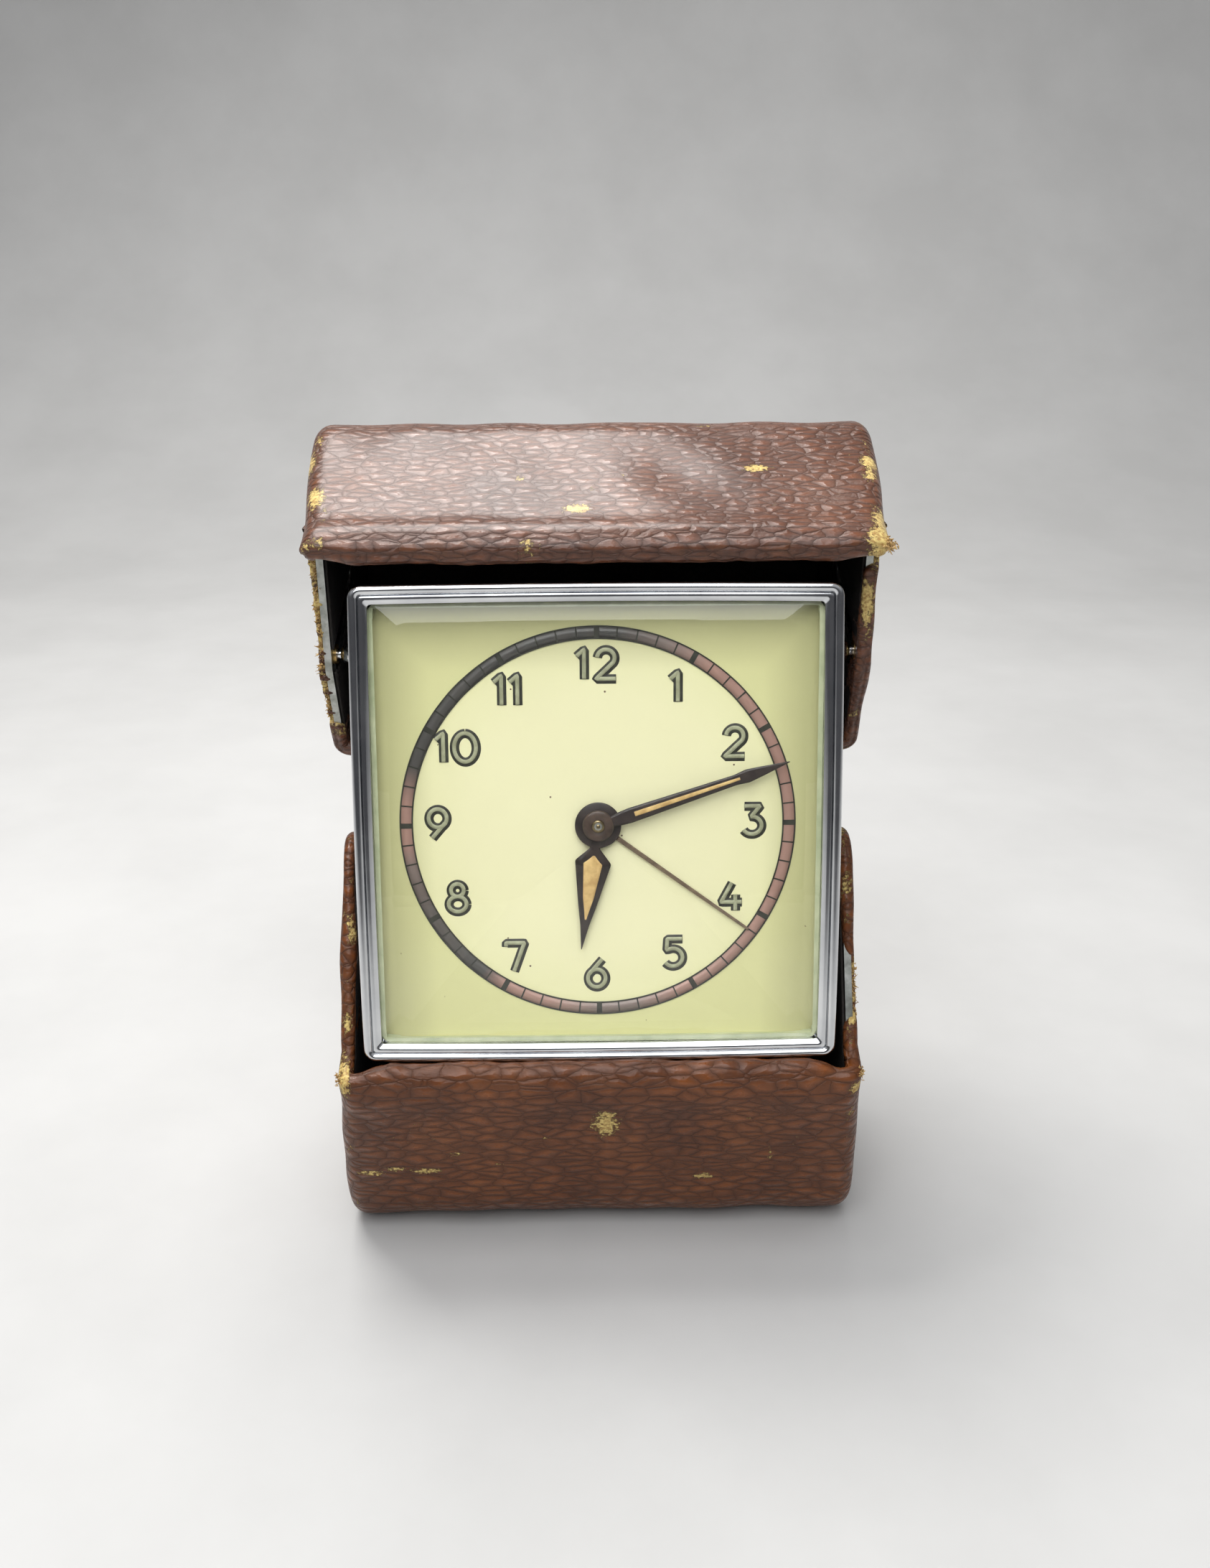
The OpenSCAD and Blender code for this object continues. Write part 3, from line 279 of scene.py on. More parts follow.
def ear_curve(shrink):
    """Front edge and rear edge of the ear from its root to the tip, moved in by shrink."""
    r, step = EAR_R - shrink, EAR_SLANT * shrink
    front = np.concatenate([[[0, EAR_ROOT - step]], ear_arc(r, EAR_FRONT_A, EAR_TIP_A)])
    rear = np.concatenate([[[0, -EAR_ROOT + step], NOTCH + [0, step]],
                           ear_arc(r, EAR_REAR_A, EAR_TIP_A)])
    return front, rear


def recess_line(v, shrink):
    """s of the upper cheek's edge at height v: 0 behind the recess, then a straight rise."""
    rise = RECESS_S * (v - RECESS_V) / (INNER_V - RECESS_V)
    return np.clip(rise, 0, None) + shrink * (1 + RECESS_SLANT * (rise > 0))


# %% [markdown]
# Age has torn the turned-in leather off three stretches of the cheeks, where the bright steel
# edge shows. A tear is a distance by which the skin's edge is pulled back along the free
# edge. Where it is torn, the lip is thin instead of fat.

# %% Tears
def window(q, low, high, soft):
    """1 between low and high, falling smoothly to 0 within soft on each side."""
    f = np.clip((np.minimum(q - low, high - q) + soft) / soft, 0, 1)
    return f * f * (3 - 2 * f)


def upper_tear(side, s, v):
    """Pull of the upper cheeks' edge: most of the left one, and the right one's front corner.
    Three sines of unlike lengths make it ragged. Only v matters here, not s."""
    rough = 0.6 + 0.25 * np.sin(2.1 * v) + 0.2 * np.sin(5.3 * v + 1) + 0.15 * np.sin(11 * v)
    return rough * (window(v, -11, 11.5, 1.5) if side < 0 else 0.8 * window(v, 10.5, 12.6, 1.0))


def lower_tear(side, s, v):
    """Pull of the lower cheeks' edge: a short stretch of the right ear's front edge."""
    rough = 1.0 + 0.5 * np.sin(1.9 * s) + 0.3 * np.sin(6.1 * s + 2)
    return rough * window(s, -7.6, -3.2, 0.8) * (v > s) * (side > 0)


# %% [markdown]
# The skin is the band with a cheek at each side. Where the shell is open, the sheets end in
# one closed loop, because the lip has to run round the whole opening without a joint.

# %% Edges of the cheeks
PULL_WAY = np.array([0.7, -0.7])  # across the ear's front edge, as (s, v)


def cheek_edge(side, s, v, shrink, ears, tear):
    """Edge of a cheek from front to rear as (s, v), and how far a tear pulls it back."""
    count, edge_v = s.shape[1], v[-1, 0]
    if ears:
        root = EAR_ROOT - EAR_SLANT * shrink
        edge = np.concatenate([[edge_v], np.linspace(root, -root, count - 2), [-edge_v]])
        return np.stack([0 * edge + shrink, edge], -1), 0 * edge
    edge = np.linspace(edge_v, -edge_v, count)
    edge = np.stack([recess_line(edge, shrink), edge], -1)
    edge[0] = s[-1, 0], v[-1, 0]
    edge[-1] = s[-1, -1], v[-1, -1]
    pull = tear(side, edge[:, 0], edge[:, 1]) if tear else 0 * edge[:, 0]
    pull[[0, -1]] = 0
    edge[:, 0] += pull
    return edge, pull


def ear_sheet(side, edge, shrink, tear):
    """Ear ruled between its front and rear edges, the cheek's free edge round it as (s, v),
    and the pull of the tear along that edge."""
    front, rear = (along(c, N_EAR) for c in ear_curve(shrink))
    pull = tear(side, front[:, 0], front[:, 1]) if tear else 0 * front[:, 0]
    front = front + pull[:, None] * PULL_WAY
    g = np.linspace(0, 1, len(edge) - 2)[None, :, None]
    ear = front[:, None] + (rear[:, None] - front[:, None]) * g
    ear[0] = edge[1:-1]
    free = np.concatenate([edge[:1], front, rear[::-1][1:], edge[-1:]])
    return ear, free, np.concatenate([[0], pull, 0 * rear[1:, 0], [0]])


# %% Skin of a shell
LEAST_EDGE_R = 0.3
STEP_AT, STEP_SOFT = INNER_V + 1.4, 1.45  # where the lip steps down to the cut-back cheek


def shell_skin(half, inset, shrink, ears, tear=None):
    """Sheets in (x, s, v), and the open edge as a closed loop of points with their inward
    normals and their tears. shrink is the distance left for the rolled lip."""
    x, deep, a = edge_stations(half, inset, max(EDGE_R - inset, LEAST_EDGE_R))
    v_front = SHELL_T / 2 - deep
    blend = np.clip((STEP_AT - v_front) / STEP_SOFT, 0, 1)[:, None]
    blend = blend * blend * (3 - 2 * blend)
    s_front = shrink + np.zeros((len(x), 1))
    if not ears:
        s_front = s_front + blend * (recess_line(v_front[:, None], shrink) - shrink)
    s_rear = shrink + np.zeros((len(x), 1))
    s, v = section(deep[:, None], s_front, s_rear)
    band = np.stack([x[:, None] + 0 * s, s, v], -1)
    f = np.linspace(0, 1, N_CHEEK)[:, None, None]
    sheets, rims, pulls = [band], [], []
    for side, column in ((-1, 0), (1, -1)):
        edge, pull = cheek_edge(side, s, v, shrink, ears, tear)
        pieces, free = [edge + (band[column][:, 1:] - edge) * f], edge
        if ears:
            ear, free, pull = ear_sheet(side, edge, shrink, tear)
            pieces.append(ear)
        flat = [np.concatenate([0 * g[..., :1] + side * (half - inset), g], -1)
                for g in pieces + [free]]
        sheets += flat[:-1]
        rims.append(flat[-1])
        pulls.append(pull)
    inward = np.stack([-np.sin(a), 0 * a, -np.cos(a)], -1)
    left, right = rims
    loop = np.concatenate([band[:, 0], right[1:-1], band[::-1, -1], left[::-1][1:-1]])
    normal = np.concatenate([inward, 0 * right[1:-1] + [-1, 0, 0], (inward * [1, 1, -1])[::-1],
                             0 * left[1:-1] + [1, 0, 0]])
    torn = np.concatenate([0 * x, pulls[1][1:-1], 0 * x, pulls[0][::-1][1:-1]])
    return sheets, loop, normal, torn


# %% [markdown]
# The leather is turned in over the steel's edge, which gives a fat lip. Its section is half a
# turn that is made squarer by a power, with a groove where the leather creases on the upper
# shell. A bevelled edge would be simpler, but it can't change its fatness along the way.

# %% Rolled lip
N_ROLL, N_BAND = 19, 9
SQUARE = 0.7  # lips with a power below this one have the groove
GROOVE_AT, GROOVE_REACH, GROOVE_DEEP = 1.3, 0.16, 0.16


def smooth_round(values, times):
    """Averages each row of a closed loop with its neighbours, several times."""
    for _ in range(times):
        values = (np.roll(values, 1, 0) + 2 * values + np.roll(values, -1, 0)) / 4
    return values


def near(d, reach):
    """Bell curve: 1 where d is 0, and small beyond reach."""
    return np.exp(-(d / reach) ** 2)


def rolled_lip(loop, normal, radius, turn_in, wrinkle, power):
    """Lip carried along the loop: P + r g(t) T + r (1 - cos t) N, where g is a power of sin t
    less a narrow groove, then a band that runs back along -T on the inside. T points out of
    the opening, across the loop. A low power makes the lip squarer."""
    ahead = np.roll(loop, -1, 0) - np.roll(loop, 1, 0)
    out = smooth_round(np.cross(normal, ahead / np.linalg.norm(ahead, axis=1)[:, None]), 4)
    out /= np.linalg.norm(out, axis=1)[:, None]
    t = np.linspace(0, math.pi, N_ROLL)[:, None, None]
    r = radius[None, :, None]
    groove = GROOVE_DEEP * (power < SQUARE) * near(t - GROOVE_AT, GROOVE_REACH)
    full = np.clip(np.sin(t), 0, 1) ** power - groove
    roll_sheet = loop + r * full * out + r * (1 - np.cos(t)) * normal
    run = np.linspace(0, 1, N_BAND)[1:, None, None]
    pucker = wrinkle[None, :, None] * np.sin(math.pi * run) * normal
    inside = roll_sheet[-1] - run * turn_in[None, :, None] * out + pucker
    return np.concatenate([roll_sheet, inside])


# %% [markdown]
# Nothing on a worn case is even. A sum of waves in random directions gives soft unevenness
# that depends on the place alone, so neighbouring sheets agree where they meet.

# %% Waves and painted numbers
N_WAVES = 14


def cloud_waves(points, seed, wavelength):
    """Sum of plane waves in random directions, between about -1 and 1."""
    chance = np.random.default_rng(seed)
    way = chance.normal(size=(N_WAVES, 3))
    length = wavelength * chance.uniform(0.6, 1.6, N_WAVES) * np.linalg.norm(way, axis=1)
    way *= 2 * math.pi / length[:, None]
    waves = np.sin(points @ way.T + chance.uniform(0, 7, N_WAVES))
    return waves.sum(1) / math.sqrt(N_WAVES / 2)


def paint(piece, name, values):
    """Stores one number for each point under a name that a material can read."""
    layer = piece.data.attributes.new(name, "FLOAT", "POINT")
    layer.data.foreach_set("value", values.astype(np.float32))


# %% [markdown]
# A cover is the skin, its lip and what age did to the leather: the sides flare towards the
# crown, the front wall bows below the lip, and folds bulge at the corners of the upper lip.
# A sculpted mesh could show the same, but could not follow a change of size.

# %% Lip of a cover
THIN_LIP = 0.4  # radius where the leather is torn
PUCKER = 0.3
STEP_TURN_IN = 0.6  # at the cut-back cheek, so that the band stays inside the wall
STEP_V = 13.5
FAT_REACH = 2.0  # how far round the corner the fat lip goes
MIDDLE_IN, MIDDLE_SOFT = 3, 4  # it starts this far in from the side, and grows over MIDDLE_SOFT
BARE_AT = 0.3  # pull of a tear from which the lip is thin


def cover_lip(rim, half, ears, radius, power, chance):
    """Sheet of the lip: fat only in the middle of the front wall, thin where it is torn."""
    loop, normal, torn = rim
    count = len(loop)
    wrinkle = -np.abs(PUCKER * smooth_round(chance.normal(size=count), 2))
    turn_in = TURN_IN + smooth_round(chance.normal(size=count), 3)
    if not ears:
        step = (np.abs(loop[:, 0]) > half - EDGE_R - 0.3) & (loop[:, 2] > STEP_V)
        turn_in = np.where(step, STEP_TURN_IN, turn_in)
    bare = smooth_round(np.clip(torn / BARE_AT, 0, 1)[:, None], 2)[:, 0]
    middle = np.clip((half - MIDDLE_IN - np.abs(loop[:, 0])) / MIDDLE_SOFT, 0, 1)
    fat = ROLL + (radius - ROLL) * near(loop[:, 2] - SHELL_T / 2, FAT_REACH) * middle
    width = fat * (1 - bare) + THIN_LIP * bare
    return rolled_lip(loop, normal, width, turn_in, wrinkle * (1 - bare), power)


# %% Unevenness of a cover
FLARE, FLARE_RUN = 0.036, 23
UNEVEN, UNEVEN_LENGTH = 0.09, 11  # height and length of the soft waves
FINE, FINE_LENGTH = 0.035, 1.9  # and of the fine ones near the lip
EAR_SINK = 0.16  # the lower lip's ends lie a little deeper, inside the upper shell
CORNER_BULGE = 0.35
FOLD_S, FOLD_V, FOLD_X = (1.0, 2.4), (16.5, 3.2), 5  # place and reach of the corners' folds


def flare(s):
    """Share by which the skin is wider at s: 1 at the lip, 1 + FLARE at the crown."""
    f = np.clip((s - 1) / FLARE_RUN, 0, 1)
    return 1 + FLARE * f * f * (3 - 2 * f)


def uneven(p, outwards, half, ears, soft, seed):
    """Points p of a skin, moved by waves, by the flare, by the folds at the upper lip's
    corners and by the bow of the front wall: v + full bell(s) - lean (1 - s / reach)^2, with
    soft as (full, lean, reach)."""
    x, s, v = p.T
    lip_zone = near(s - 0.3, 2.0) * (v > 8)
    lift = UNEVEN * cloud_waves(p, seed, UNEVEN_LENGTH)
    lift = lift + FINE * lip_zone * cloud_waves(p * [1, 0.5, 0.5], seed + 7, FINE_LENGTH)
    if ears:
        lift -= EAR_SINK * np.clip((4 - s) / 2, 0, 1) * (v < 15)
    outer = np.clip((np.abs(x) - half + FOLD_X) / FOLD_X, 0, 1)
    corner = near(s - FOLD_S[0], FOLD_S[1]) * near(v - FOLD_V[0], FOLD_V[1]) * outer
    full, lean, reach = soft
    bow = full * near(s - 0.9 * reach, 0.6 * reach) - lean * np.clip(1 - s / reach, 0, 1) ** 2
    bow = bow * np.clip((v - 11) / 4, 0, 1) ** 2 * np.clip((half - np.abs(x)) / 2, 0, 1)
    q = p + lift[:, None] * outwards
    q[:, 0] += x * (flare(s) - 1) + np.sign(x) * corner * (0 if ears else CORNER_BULGE)
    q[:, 2] += bow
    return q


# %% Covers
SKIN_JOIN = 2e-5


def cover(name, half, ears, maps, tear, lip_r, power, soft, seed):
    """Leather skin with its lip, made uneven and put in place by the shell's maps."""
    row, back = maps
    sheets, *rim = shell_skin(half, 0, ROLL, ears, tear)
    lip = cover_lip(rim, half, ears, lip_r, power, np.random.default_rng(seed))
    skins = [(row(g), False, False) for g in sheets] + [(row(lip), False, True)]
    made = build(name, skins, SKIN_JOIN)
    points = corners(made)
    p = back(points)
    facing = np.empty(3 * len(points))
    made.data.vertex_normals.foreach_get("vector", facing)
    outwards = back(points + MM * facing.reshape(-1, 3)) - p
    points = row(uneven(p, outwards, half, ears, soft, seed))
    made.data.vertices.foreach_set("co", points.ravel())
    made.data.update()
    add_wall(made, LEATHER)
    return made


upper_cover = cover("upper_leather_skin", UPPER_HALF, False, (upper_row, upper_back), upper_tear,
                    lip_r=1.4, power=0.5, soft=(0.35, 0.5, 3.2), seed=3)
lower_cover = cover("lower_leather_skin", LOWER_HALF, True, (lower_row, lower_back), lower_tear,
                    lip_r=1.9, power=0.95, soft=(0.5, 0.5, 3.8), seed=5)

# %% [markdown]
# Wear is two numbers at each point of the skin, which the leather's material reads. One says
# how much a place is rubbed, the other how much it is scraped through. Painting an image
# would do the same, but would need the skin laid out flat.

# %% Wear
ON_FRONT = 12  # v above which a point is on the front wall
ELSEWHERE = 9  # stands for the distance from the lip of points off the front wall
CHEEK_DEEP = 3  # how far in from the shell's side the wear of a cheek reaches
EAR_FALL = -0.71  # slope of the ear's front edge
EDGE_SHARE, RIM_SHARE, TEAR_SHARE = 0.3, 0.3, 0.95


def wear(piece, back, half, seed, scrapes, ears, tear):
    """Rubbed: the rounded edges, the lip and the cheeks' free edges. Scraped: spots given as
    (x, s, reach along x, reach along s, strength), and specks along edges and tears."""
    p = back(corners(piece))
    x, s, v = p.T
    x = x / flare(s)
    cheek = np.abs(x) > half - CHEEK_DEEP
    side = near(np.abs(x) - half + 1.3, 0.8)
    front = near(np.where(v > ON_FRONT, s, ELSEWHERE) - 0.2, 1.4)
    if ears:
        rim = near(s + 9, 8) * (np.abs(x) > half - 2.4)
        edge_s = np.clip(EAR_ROOT - v, 0, None) * EAR_FALL * EAR_SLANT
    else:
        rim = near(np.maximum(s - recess_line(v, 0) - 0.4, 0), 0.9) * cheek
        edge_s = recess_line(v, 0)
    rubbed = 0.5 * np.clip(side + front + rim, 0, 1) + 0.14 * cloud_waves(p, seed, 9)
    scraped = (0.12 + 0.06 * cloud_waves(p, seed + 2, 14)
               + EDGE_SHARE * side * (0.3 + 0.7 * cloud_waves(p, seed + 1, 4))
               + RIM_SHARE * rim * (0.4 + 0.6 * cloud_waves(p, seed + 3, 3.5)))
    flap = np.clip(np.maximum(tear(-1, s, v) * (x < 0), tear(1, s, v) * (x > 0)), 0, 1)
    by_edge = near(np.maximum(s - edge_s - 1.2, 0), 1.2) * cheek
    scraped = scraped + flap * TEAR_SHARE * by_edge
    below = np.minimum(v - ON_FRONT, 0) / 2
    for cx, cs, reach, across, strength in scrapes:
        d = ((x - cx) / reach) ** 2 + ((s - cs) / across) ** 2 + below ** 2
        scraped = np.maximum(scraped, (strength + 0.05) * np.exp(-d / 2.2))
    paint(piece, "rubbed", rubbed)
    paint(piece, "scraped", scraped)


# %% Scrapes on both covers
UPPER_SCRAPES = [
    (-35.4, 18.9, 0.8, 2.6, 0.75), (-34.2, 10.1, 1.0, 2.2, 0.85), (-9.2, 13.8, 0.6, 0.6, 0.7),
    (-2.2, 7.2, 1.5, 0.8, 0.95), (-0.4, 11.5, 0.5, 0.5, 0.6), (3.6, 14.4, 0.5, 0.4, 0.6),
    (20.0, 15.9, 1.4, 0.7, 0.95), (34.2, 17.3, 1.0, 1.4, 0.95), (34.0, 13.8, 0.8, 0.8, 0.8),
    (35.0, 4.5, 1.0, 2.4, 0.9), (-8.2, 0.4, 0.8, 0.6, 0.75), (22.0, 7.8, 0.4, 0.4, 0.55),
    (14.0, 26.8, 1.2, 0.4, 0.6), (34.5, 1.0, 1.6, 1.6, 1.0)]
LOWER_SCRAPES = [
    (0.7, 8.6, 1.5, 2.0, 0.85), (0.9, 6.4, 1.0, 0.7, 0.9), (-29.7, 18.3, 1.5, 0.5, 0.8),
    (-26.4, 17.5, 1.5, 0.4, 0.75), (-22.4, 17.9, 1.7, 0.5, 0.8), (-18.5, 14.4, 1.3, 0.4, 0.65),
    (13.3, 20.0, 1.4, 0.5, 0.8), (21.9, 15.6, 0.25, 2.0, 0.55), (32.6, 2.1, 0.8, 0.7, 0.9),
    (-7.1, 11.3, 0.6, 0.4, 0.6), (18.7, 7.6, 0.5, 0.3, 0.55), (-13.1, 16.9, 0.6, 0.4, 0.6),
    (-32.6, 1.0, 1.0, 1.2, 0.85)]
wear(upper_cover, upper_back, UPPER_HALF, 11, UPPER_SCRAPES, False, upper_tear)
wear(lower_cover, lower_back, LOWER_HALF, 21, LOWER_SCRAPES, True, lower_tear)
for piece, body, cad in ((upper_cover, "upper_shell", "upper_leather_cover"),
                         (lower_cover, "lower_shell", "lower_leather_cover")):
    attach(piece, body)
    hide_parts(cad)
    print(piece.name, len(piece.data.polygons), "faces")

# %% [markdown]
# Torn leather shows its yellow fibres. Each is a short tapering strip, bent a little, that
# starts at the torn edge. A particle system could scatter hairs, but a few hundred strips
# worked out as arrays keep their shape in the exported model.

# %% Fibres
N_FIBRE = 6
LONG_SHARE, LONGER = 0.15, 1.6  # how many fibres are longer, and how much


def fibres(name, row, groups, seed):
    """Strips P + f L D + f^2 B, for f from 0 to 1, with a width that shrinks to a point.
    groups are pairs of roots P and a direction, both in the shell's drawing."""
    chance = np.random.default_rng(seed)
    roots = np.concatenate([places for places, _ in groups])
    outward = np.concatenate([0 * places + way for places, way in groups])
    n = len(roots)
    size = chance.uniform(0.2, 0.5, n) * np.where(chance.random(n) < LONG_SHARE, LONGER, 1.0)
    way = outward + 0.5 * chance.normal(size=(n, 3))
    way /= np.linalg.norm(way, axis=1)[:, None]
    droop = 0.35 * size[:, None] * chance.normal(size=(n, 3))
    across = np.cross(way, chance.normal(size=(n, 3)))
    across *= (chance.uniform(0.09, 0.26, n) / np.linalg.norm(across, axis=1))[:, None]
    f = np.linspace(0, 1, N_FIBRE)[:, None, None]
    spine = roots + f * size[:, None] * way + f * f * droop
    width = (1 - f[:, 0] ** 1.5) + 0.08
    strips = []
    for k in range(n):
        side = width * across[k]
        strips.append((row(np.stack([spine[:, k] - side, spine[:, k] + side], 1)), False, False))
    made = build(name, strips, merge=1e-9)
    add_wall(made, 0.05)
    return made


# %% Fibres at the tears
N_CHEEK_FIBRES, N_TUFT, N_EAR_FIBRES, N_CORNER_FIBRES = 210, 90, 130, 26
chance = np.random.default_rng(8)
v = chance.uniform(-11, 12, N_CHEEK_FIBRES)
x = 0 * v - UPPER_HALF + chance.uniform(0.0, 0.7, N_CHEEK_FIBRES)
s = recess_line(v, 0) + 1.15 + chance.uniform(-0.3, 0.5, N_CHEEK_FIBRES)
tuft = np.array([UPPER_HALF - 0.3, 0.6, 16.6]) + chance.normal(size=(N_TUFT, 3)) * [0.3, 0.6, 0.3]
upper_fray = fibres("upper_frayed_fibres", upper_row, [
    (np.stack([x, s, v], -1), [-0.35, -0.9, 0.2]), (tuft, [0.25, -0.8, -0.5])], 9)
run = chance.uniform(-7.8, -3.0, N_EAR_FIBRES)
x = 0 * run + LOWER_HALF - chance.uniform(0.1, 0.8, N_EAR_FIBRES)
ear = np.stack([x, run + 1.2, run + 12.2], -1)
ear = ear + chance.normal(size=(N_EAR_FIBRES, 3)) * [0.05, 0.25, 0.25]
corner = np.array([LOWER_HALF - 0.3, 0.6, 15.8])
corner = corner + chance.normal(size=(N_CORNER_FIBRES, 3)) * [0.15, 0.4, 0.5]
lower_fray = fibres("lower_frayed_fibres", lower_row, [
    (ear, [0.02, -0.7, 0.7]), (corner, [0.1, -0.9, 0.3]),
    (corner * [-1, 1, 1], [-0.1, -0.9, 0.3])], 10)
for piece, body in ((upper_fray, "upper_shell"), (lower_fray, "lower_shell")):
    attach(piece, body)
    print(piece.name, len(piece.data.polygons), "faces")

# %% [markdown]
# Inside, each shell has a thin dark lining. It is the same skin, made further in and without
# the lip, and it is thickened outwards, towards the steel. The tracks of the studs stay open.

# %% Linings
LINING = 0.3
LINING_INSET = 2.0
TRACK_R, TRACK_ROOM = 1.4, 0.9
SHUT_D = 20.5  # from the seam to the studs when the case is shut


def lining(name, half, ears, row, open_d):
    """The shell's skin at its inner face, without the faces over the studs' tracks."""
    sheets = shell_skin(half, LINING_INSET, ROLL, ears)[0]
    made = build(name, [(row(g), False, False) for g in sheets], SKIN_JOIN)
    start, end = (row(np.array([[0.0, d, -STUD_OFFSET]]))[0] for d in (open_d, SHUT_D))
    length = np.linalg.norm(end - start)
    line = (end - start) / length
    work = bmesh.new()
    work.from_mesh(made.data)
    gone = []
    for face in work.faces:
        p = np.array(face.calc_center_median())
        q = (p - start) * [0, 1, 1]
        off = np.linalg.norm(q - np.clip(q @ line, 0, length) * line)
        on_cheek = abs(p[0]) >= (half - LINING_INSET - 0.05) * MM
        if on_cheek and off < (TRACK_R + TRACK_ROOM) * MM:
            gone.append(face)
    bmesh.ops.delete(work, geom=gone, context="FACES")
    work.to_mesh(made.data)
    work.free()
    add_wall(made, LINING, 1)
    return made


upper_lining = lining("upper_lining_skin", UPPER_HALF, False, upper_row, UPPER_OPEN)
lower_lining = lining("lower_lining_skin", LOWER_HALF, True, lower_row, LOWER_OPEN)
for piece, body, cad in ((upper_lining, "upper_shell", "upper_lining"),
                         (lower_lining, "lower_shell", "lower_lining")):
    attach(piece, body)
    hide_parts(cad)
    print(piece.name, len(piece.data.polygons), "faces")

# %% [markdown]
# ## The chrome rim and the glass
# The rim is pressed from sheet: a half-round bead outside, a raised step, then a slope down
# to the glass. One profile is carried round a square with small round corners.

# %% Square path
BEZEL_HALF = 30.0
N_SIDE, N_CORNER = 26, 7


def square_path(half, r, crown=0.0):
    """Closed path round a square with corners of radius r, as x and up. The sides bow out by
    crown (1 - u^2), with u running -1 to 1 along a side."""
    u = np.linspace(-1, 1, N_SIDE)
    a = np.linspace(0, math.pi / 2, N_CORNER)[1:-1]
    flat = half - r
    side = np.stack([half + crown * (1 - u * u), u * flat], -1)
    corner = np.stack([flat + r * np.cos(a), flat + r * np.sin(a)], -1)
    quarter = np.concatenate([side, corner])
    turns = [quarter @ np.array([[c, s], [-s, c]]) for c, s in ((1, 0), (0, 1), (-1, 0), (0, -1))]
    return np.concatenate(turns)


def square_loft(name, rings, closed):
    """Skin over rings of (half width, corner radius, crown, depth)."""
    loops = []
    for half, r, crown, depth in rings:
        path = square_path(half, r, crown)
        loops.append(on_dial(path[:, 0], np.full(len(path), depth), path[:, 1]))
    return build(name, [(np.stack(loops), closed, True)], merge=1e-6)


# %% Bezel
BEAD_R = 0.6
BEZEL_CROWN = 0.22
CORNER_R, LEAST_CORNER_R = 1.6, 0.4
bead = [(BEAD_R - BEAD_R * math.cos(a), BEAD_R - BEAD_R * math.sin(a))
        for a in np.radians(range(0, 181, 15))]
step_and_slope = [(1.22, 0.55), (1.3, 0.3), (1.38, 0.26), (1.75, 0.26), (1.85, 0.3), (2.2, 0.62),
                  (2.3, 0.7), (2.3, 1.19), (1.9, 1.19), (1.9, 3.2)]
profile = [(0, 3.2), (0, 1.4)] + bead + step_and_slope
rim_rings = [(BEZEL_HALF - inset, max(CORNER_R - inset, LEAST_CORNER_R), BEZEL_CROWN, depth)
             for inset, depth in profile]
bezel_frame = square_loft("bezel_frame", rim_rings, True)
soften(bezel_frame, 0.04, 35)
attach(bezel_frame, "clock")
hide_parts("bezel")
print("rim", len(bezel_frame.data.polygons), "faces")

# %% [markdown]
# The glass is flat, with a ground bevel all round that shows as a pale frame inside the rim.
# It is one closed solid, because light has to bend at both of its faces.

# %% Bevelled glass
GLASS_HALF, GLASS_EDGE = 27.6, 27.8
FACE_HALF = GLASS_HALF - 2.0  # where the bevel starts
glass_rings = [(0.01, 0.005, 0, 0.5), (FACE_HALF - 0.15, 2.8, 0.05, 0.5),
               (FACE_HALF, 2.9, 0.1, 0.53), (GLASS_HALF, 1.2, 0.15, 1.32),
               (GLASS_EDGE, 1.3, 0.1, 1.34), (GLASS_EDGE, 1.3, 0.1, 1.88),
               (0.01, 0.005, 0, 1.88)]
glass = square_loft("bevelled_glass", glass_rings, False)
soften(glass, 0.03, 12)
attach(glass, "clock")
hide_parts("crystal")

# %% [markdown]
# ## The dial
# The dial is a lacquered plate with a printed minute ring. The ring is a thin metal-coloured
# band, and its marks are thin bars on it. Bars and circles are grids in polar coordinates.

# %% Minute ring
RING_R, RING_IN = 24.7, 23.2
RING_STEPS = 241
PRINT = 3.55  # depth of the ring's face


def ring_sheet(r0, r1, a0, a1, count, top, thick):
    """Sheet of a flat band between two radii and two angles from twelve, clockwise, with its
    edges."""
    a = np.linspace(a0, a1, count)[:, None]
    r = np.array([r0, r0, r1, r1])[None, :]
    depth = np.array([top + thick, top, top, top + thick])[None, :] + 0 * a
    return on_dial(r * np.sin(a), depth, r * np.cos(a)), False, True


minute_ring = build("minute_ring", [
    ring_sheet(RING_IN, RING_R, 0, 2 * math.pi, RING_STEPS, PRINT, 0.05)])
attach(minute_ring, "clock")
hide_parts("chapter_ring")

# %% Minute marks
FIVE_HALF, MINUTE_HALF, LINE_HALF = 0.34, 0.095, 0.09  # half widths of marks and edge lines
MARK_TOP, MARK_THICK = PRINT - 0.03, 0.08
marks = []
for minute in range(60):
    reach = (MINUTE_HALF if minute % 5 else FIVE_HALF) / RING_R
    middle = math.radians(6 * minute)
    marks.append(ring_sheet(RING_IN, RING_R, middle - reach, middle + reach, 2, MARK_TOP,
                            MARK_THICK))
for r in (RING_IN, RING_R):
    marks.append(ring_sheet(r - LINE_HALF, r + LINE_HALF, 0, 2 * math.pi, RING_STEPS, MARK_TOP,
                            MARK_THICK))
minute_marks = build("minute_marks", marks, merge=1e-8, smooth=False)
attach(minute_marks, "clock")
print("marks", len(marks))

# %% [markdown]
# ## Numerals
# The numerals stand upright all round the dial. Each is drawn as strokes of a broad pen and
# raised a little, with a darker rim round it. A stroke is a path with a low half-ellipse
# carried along it.

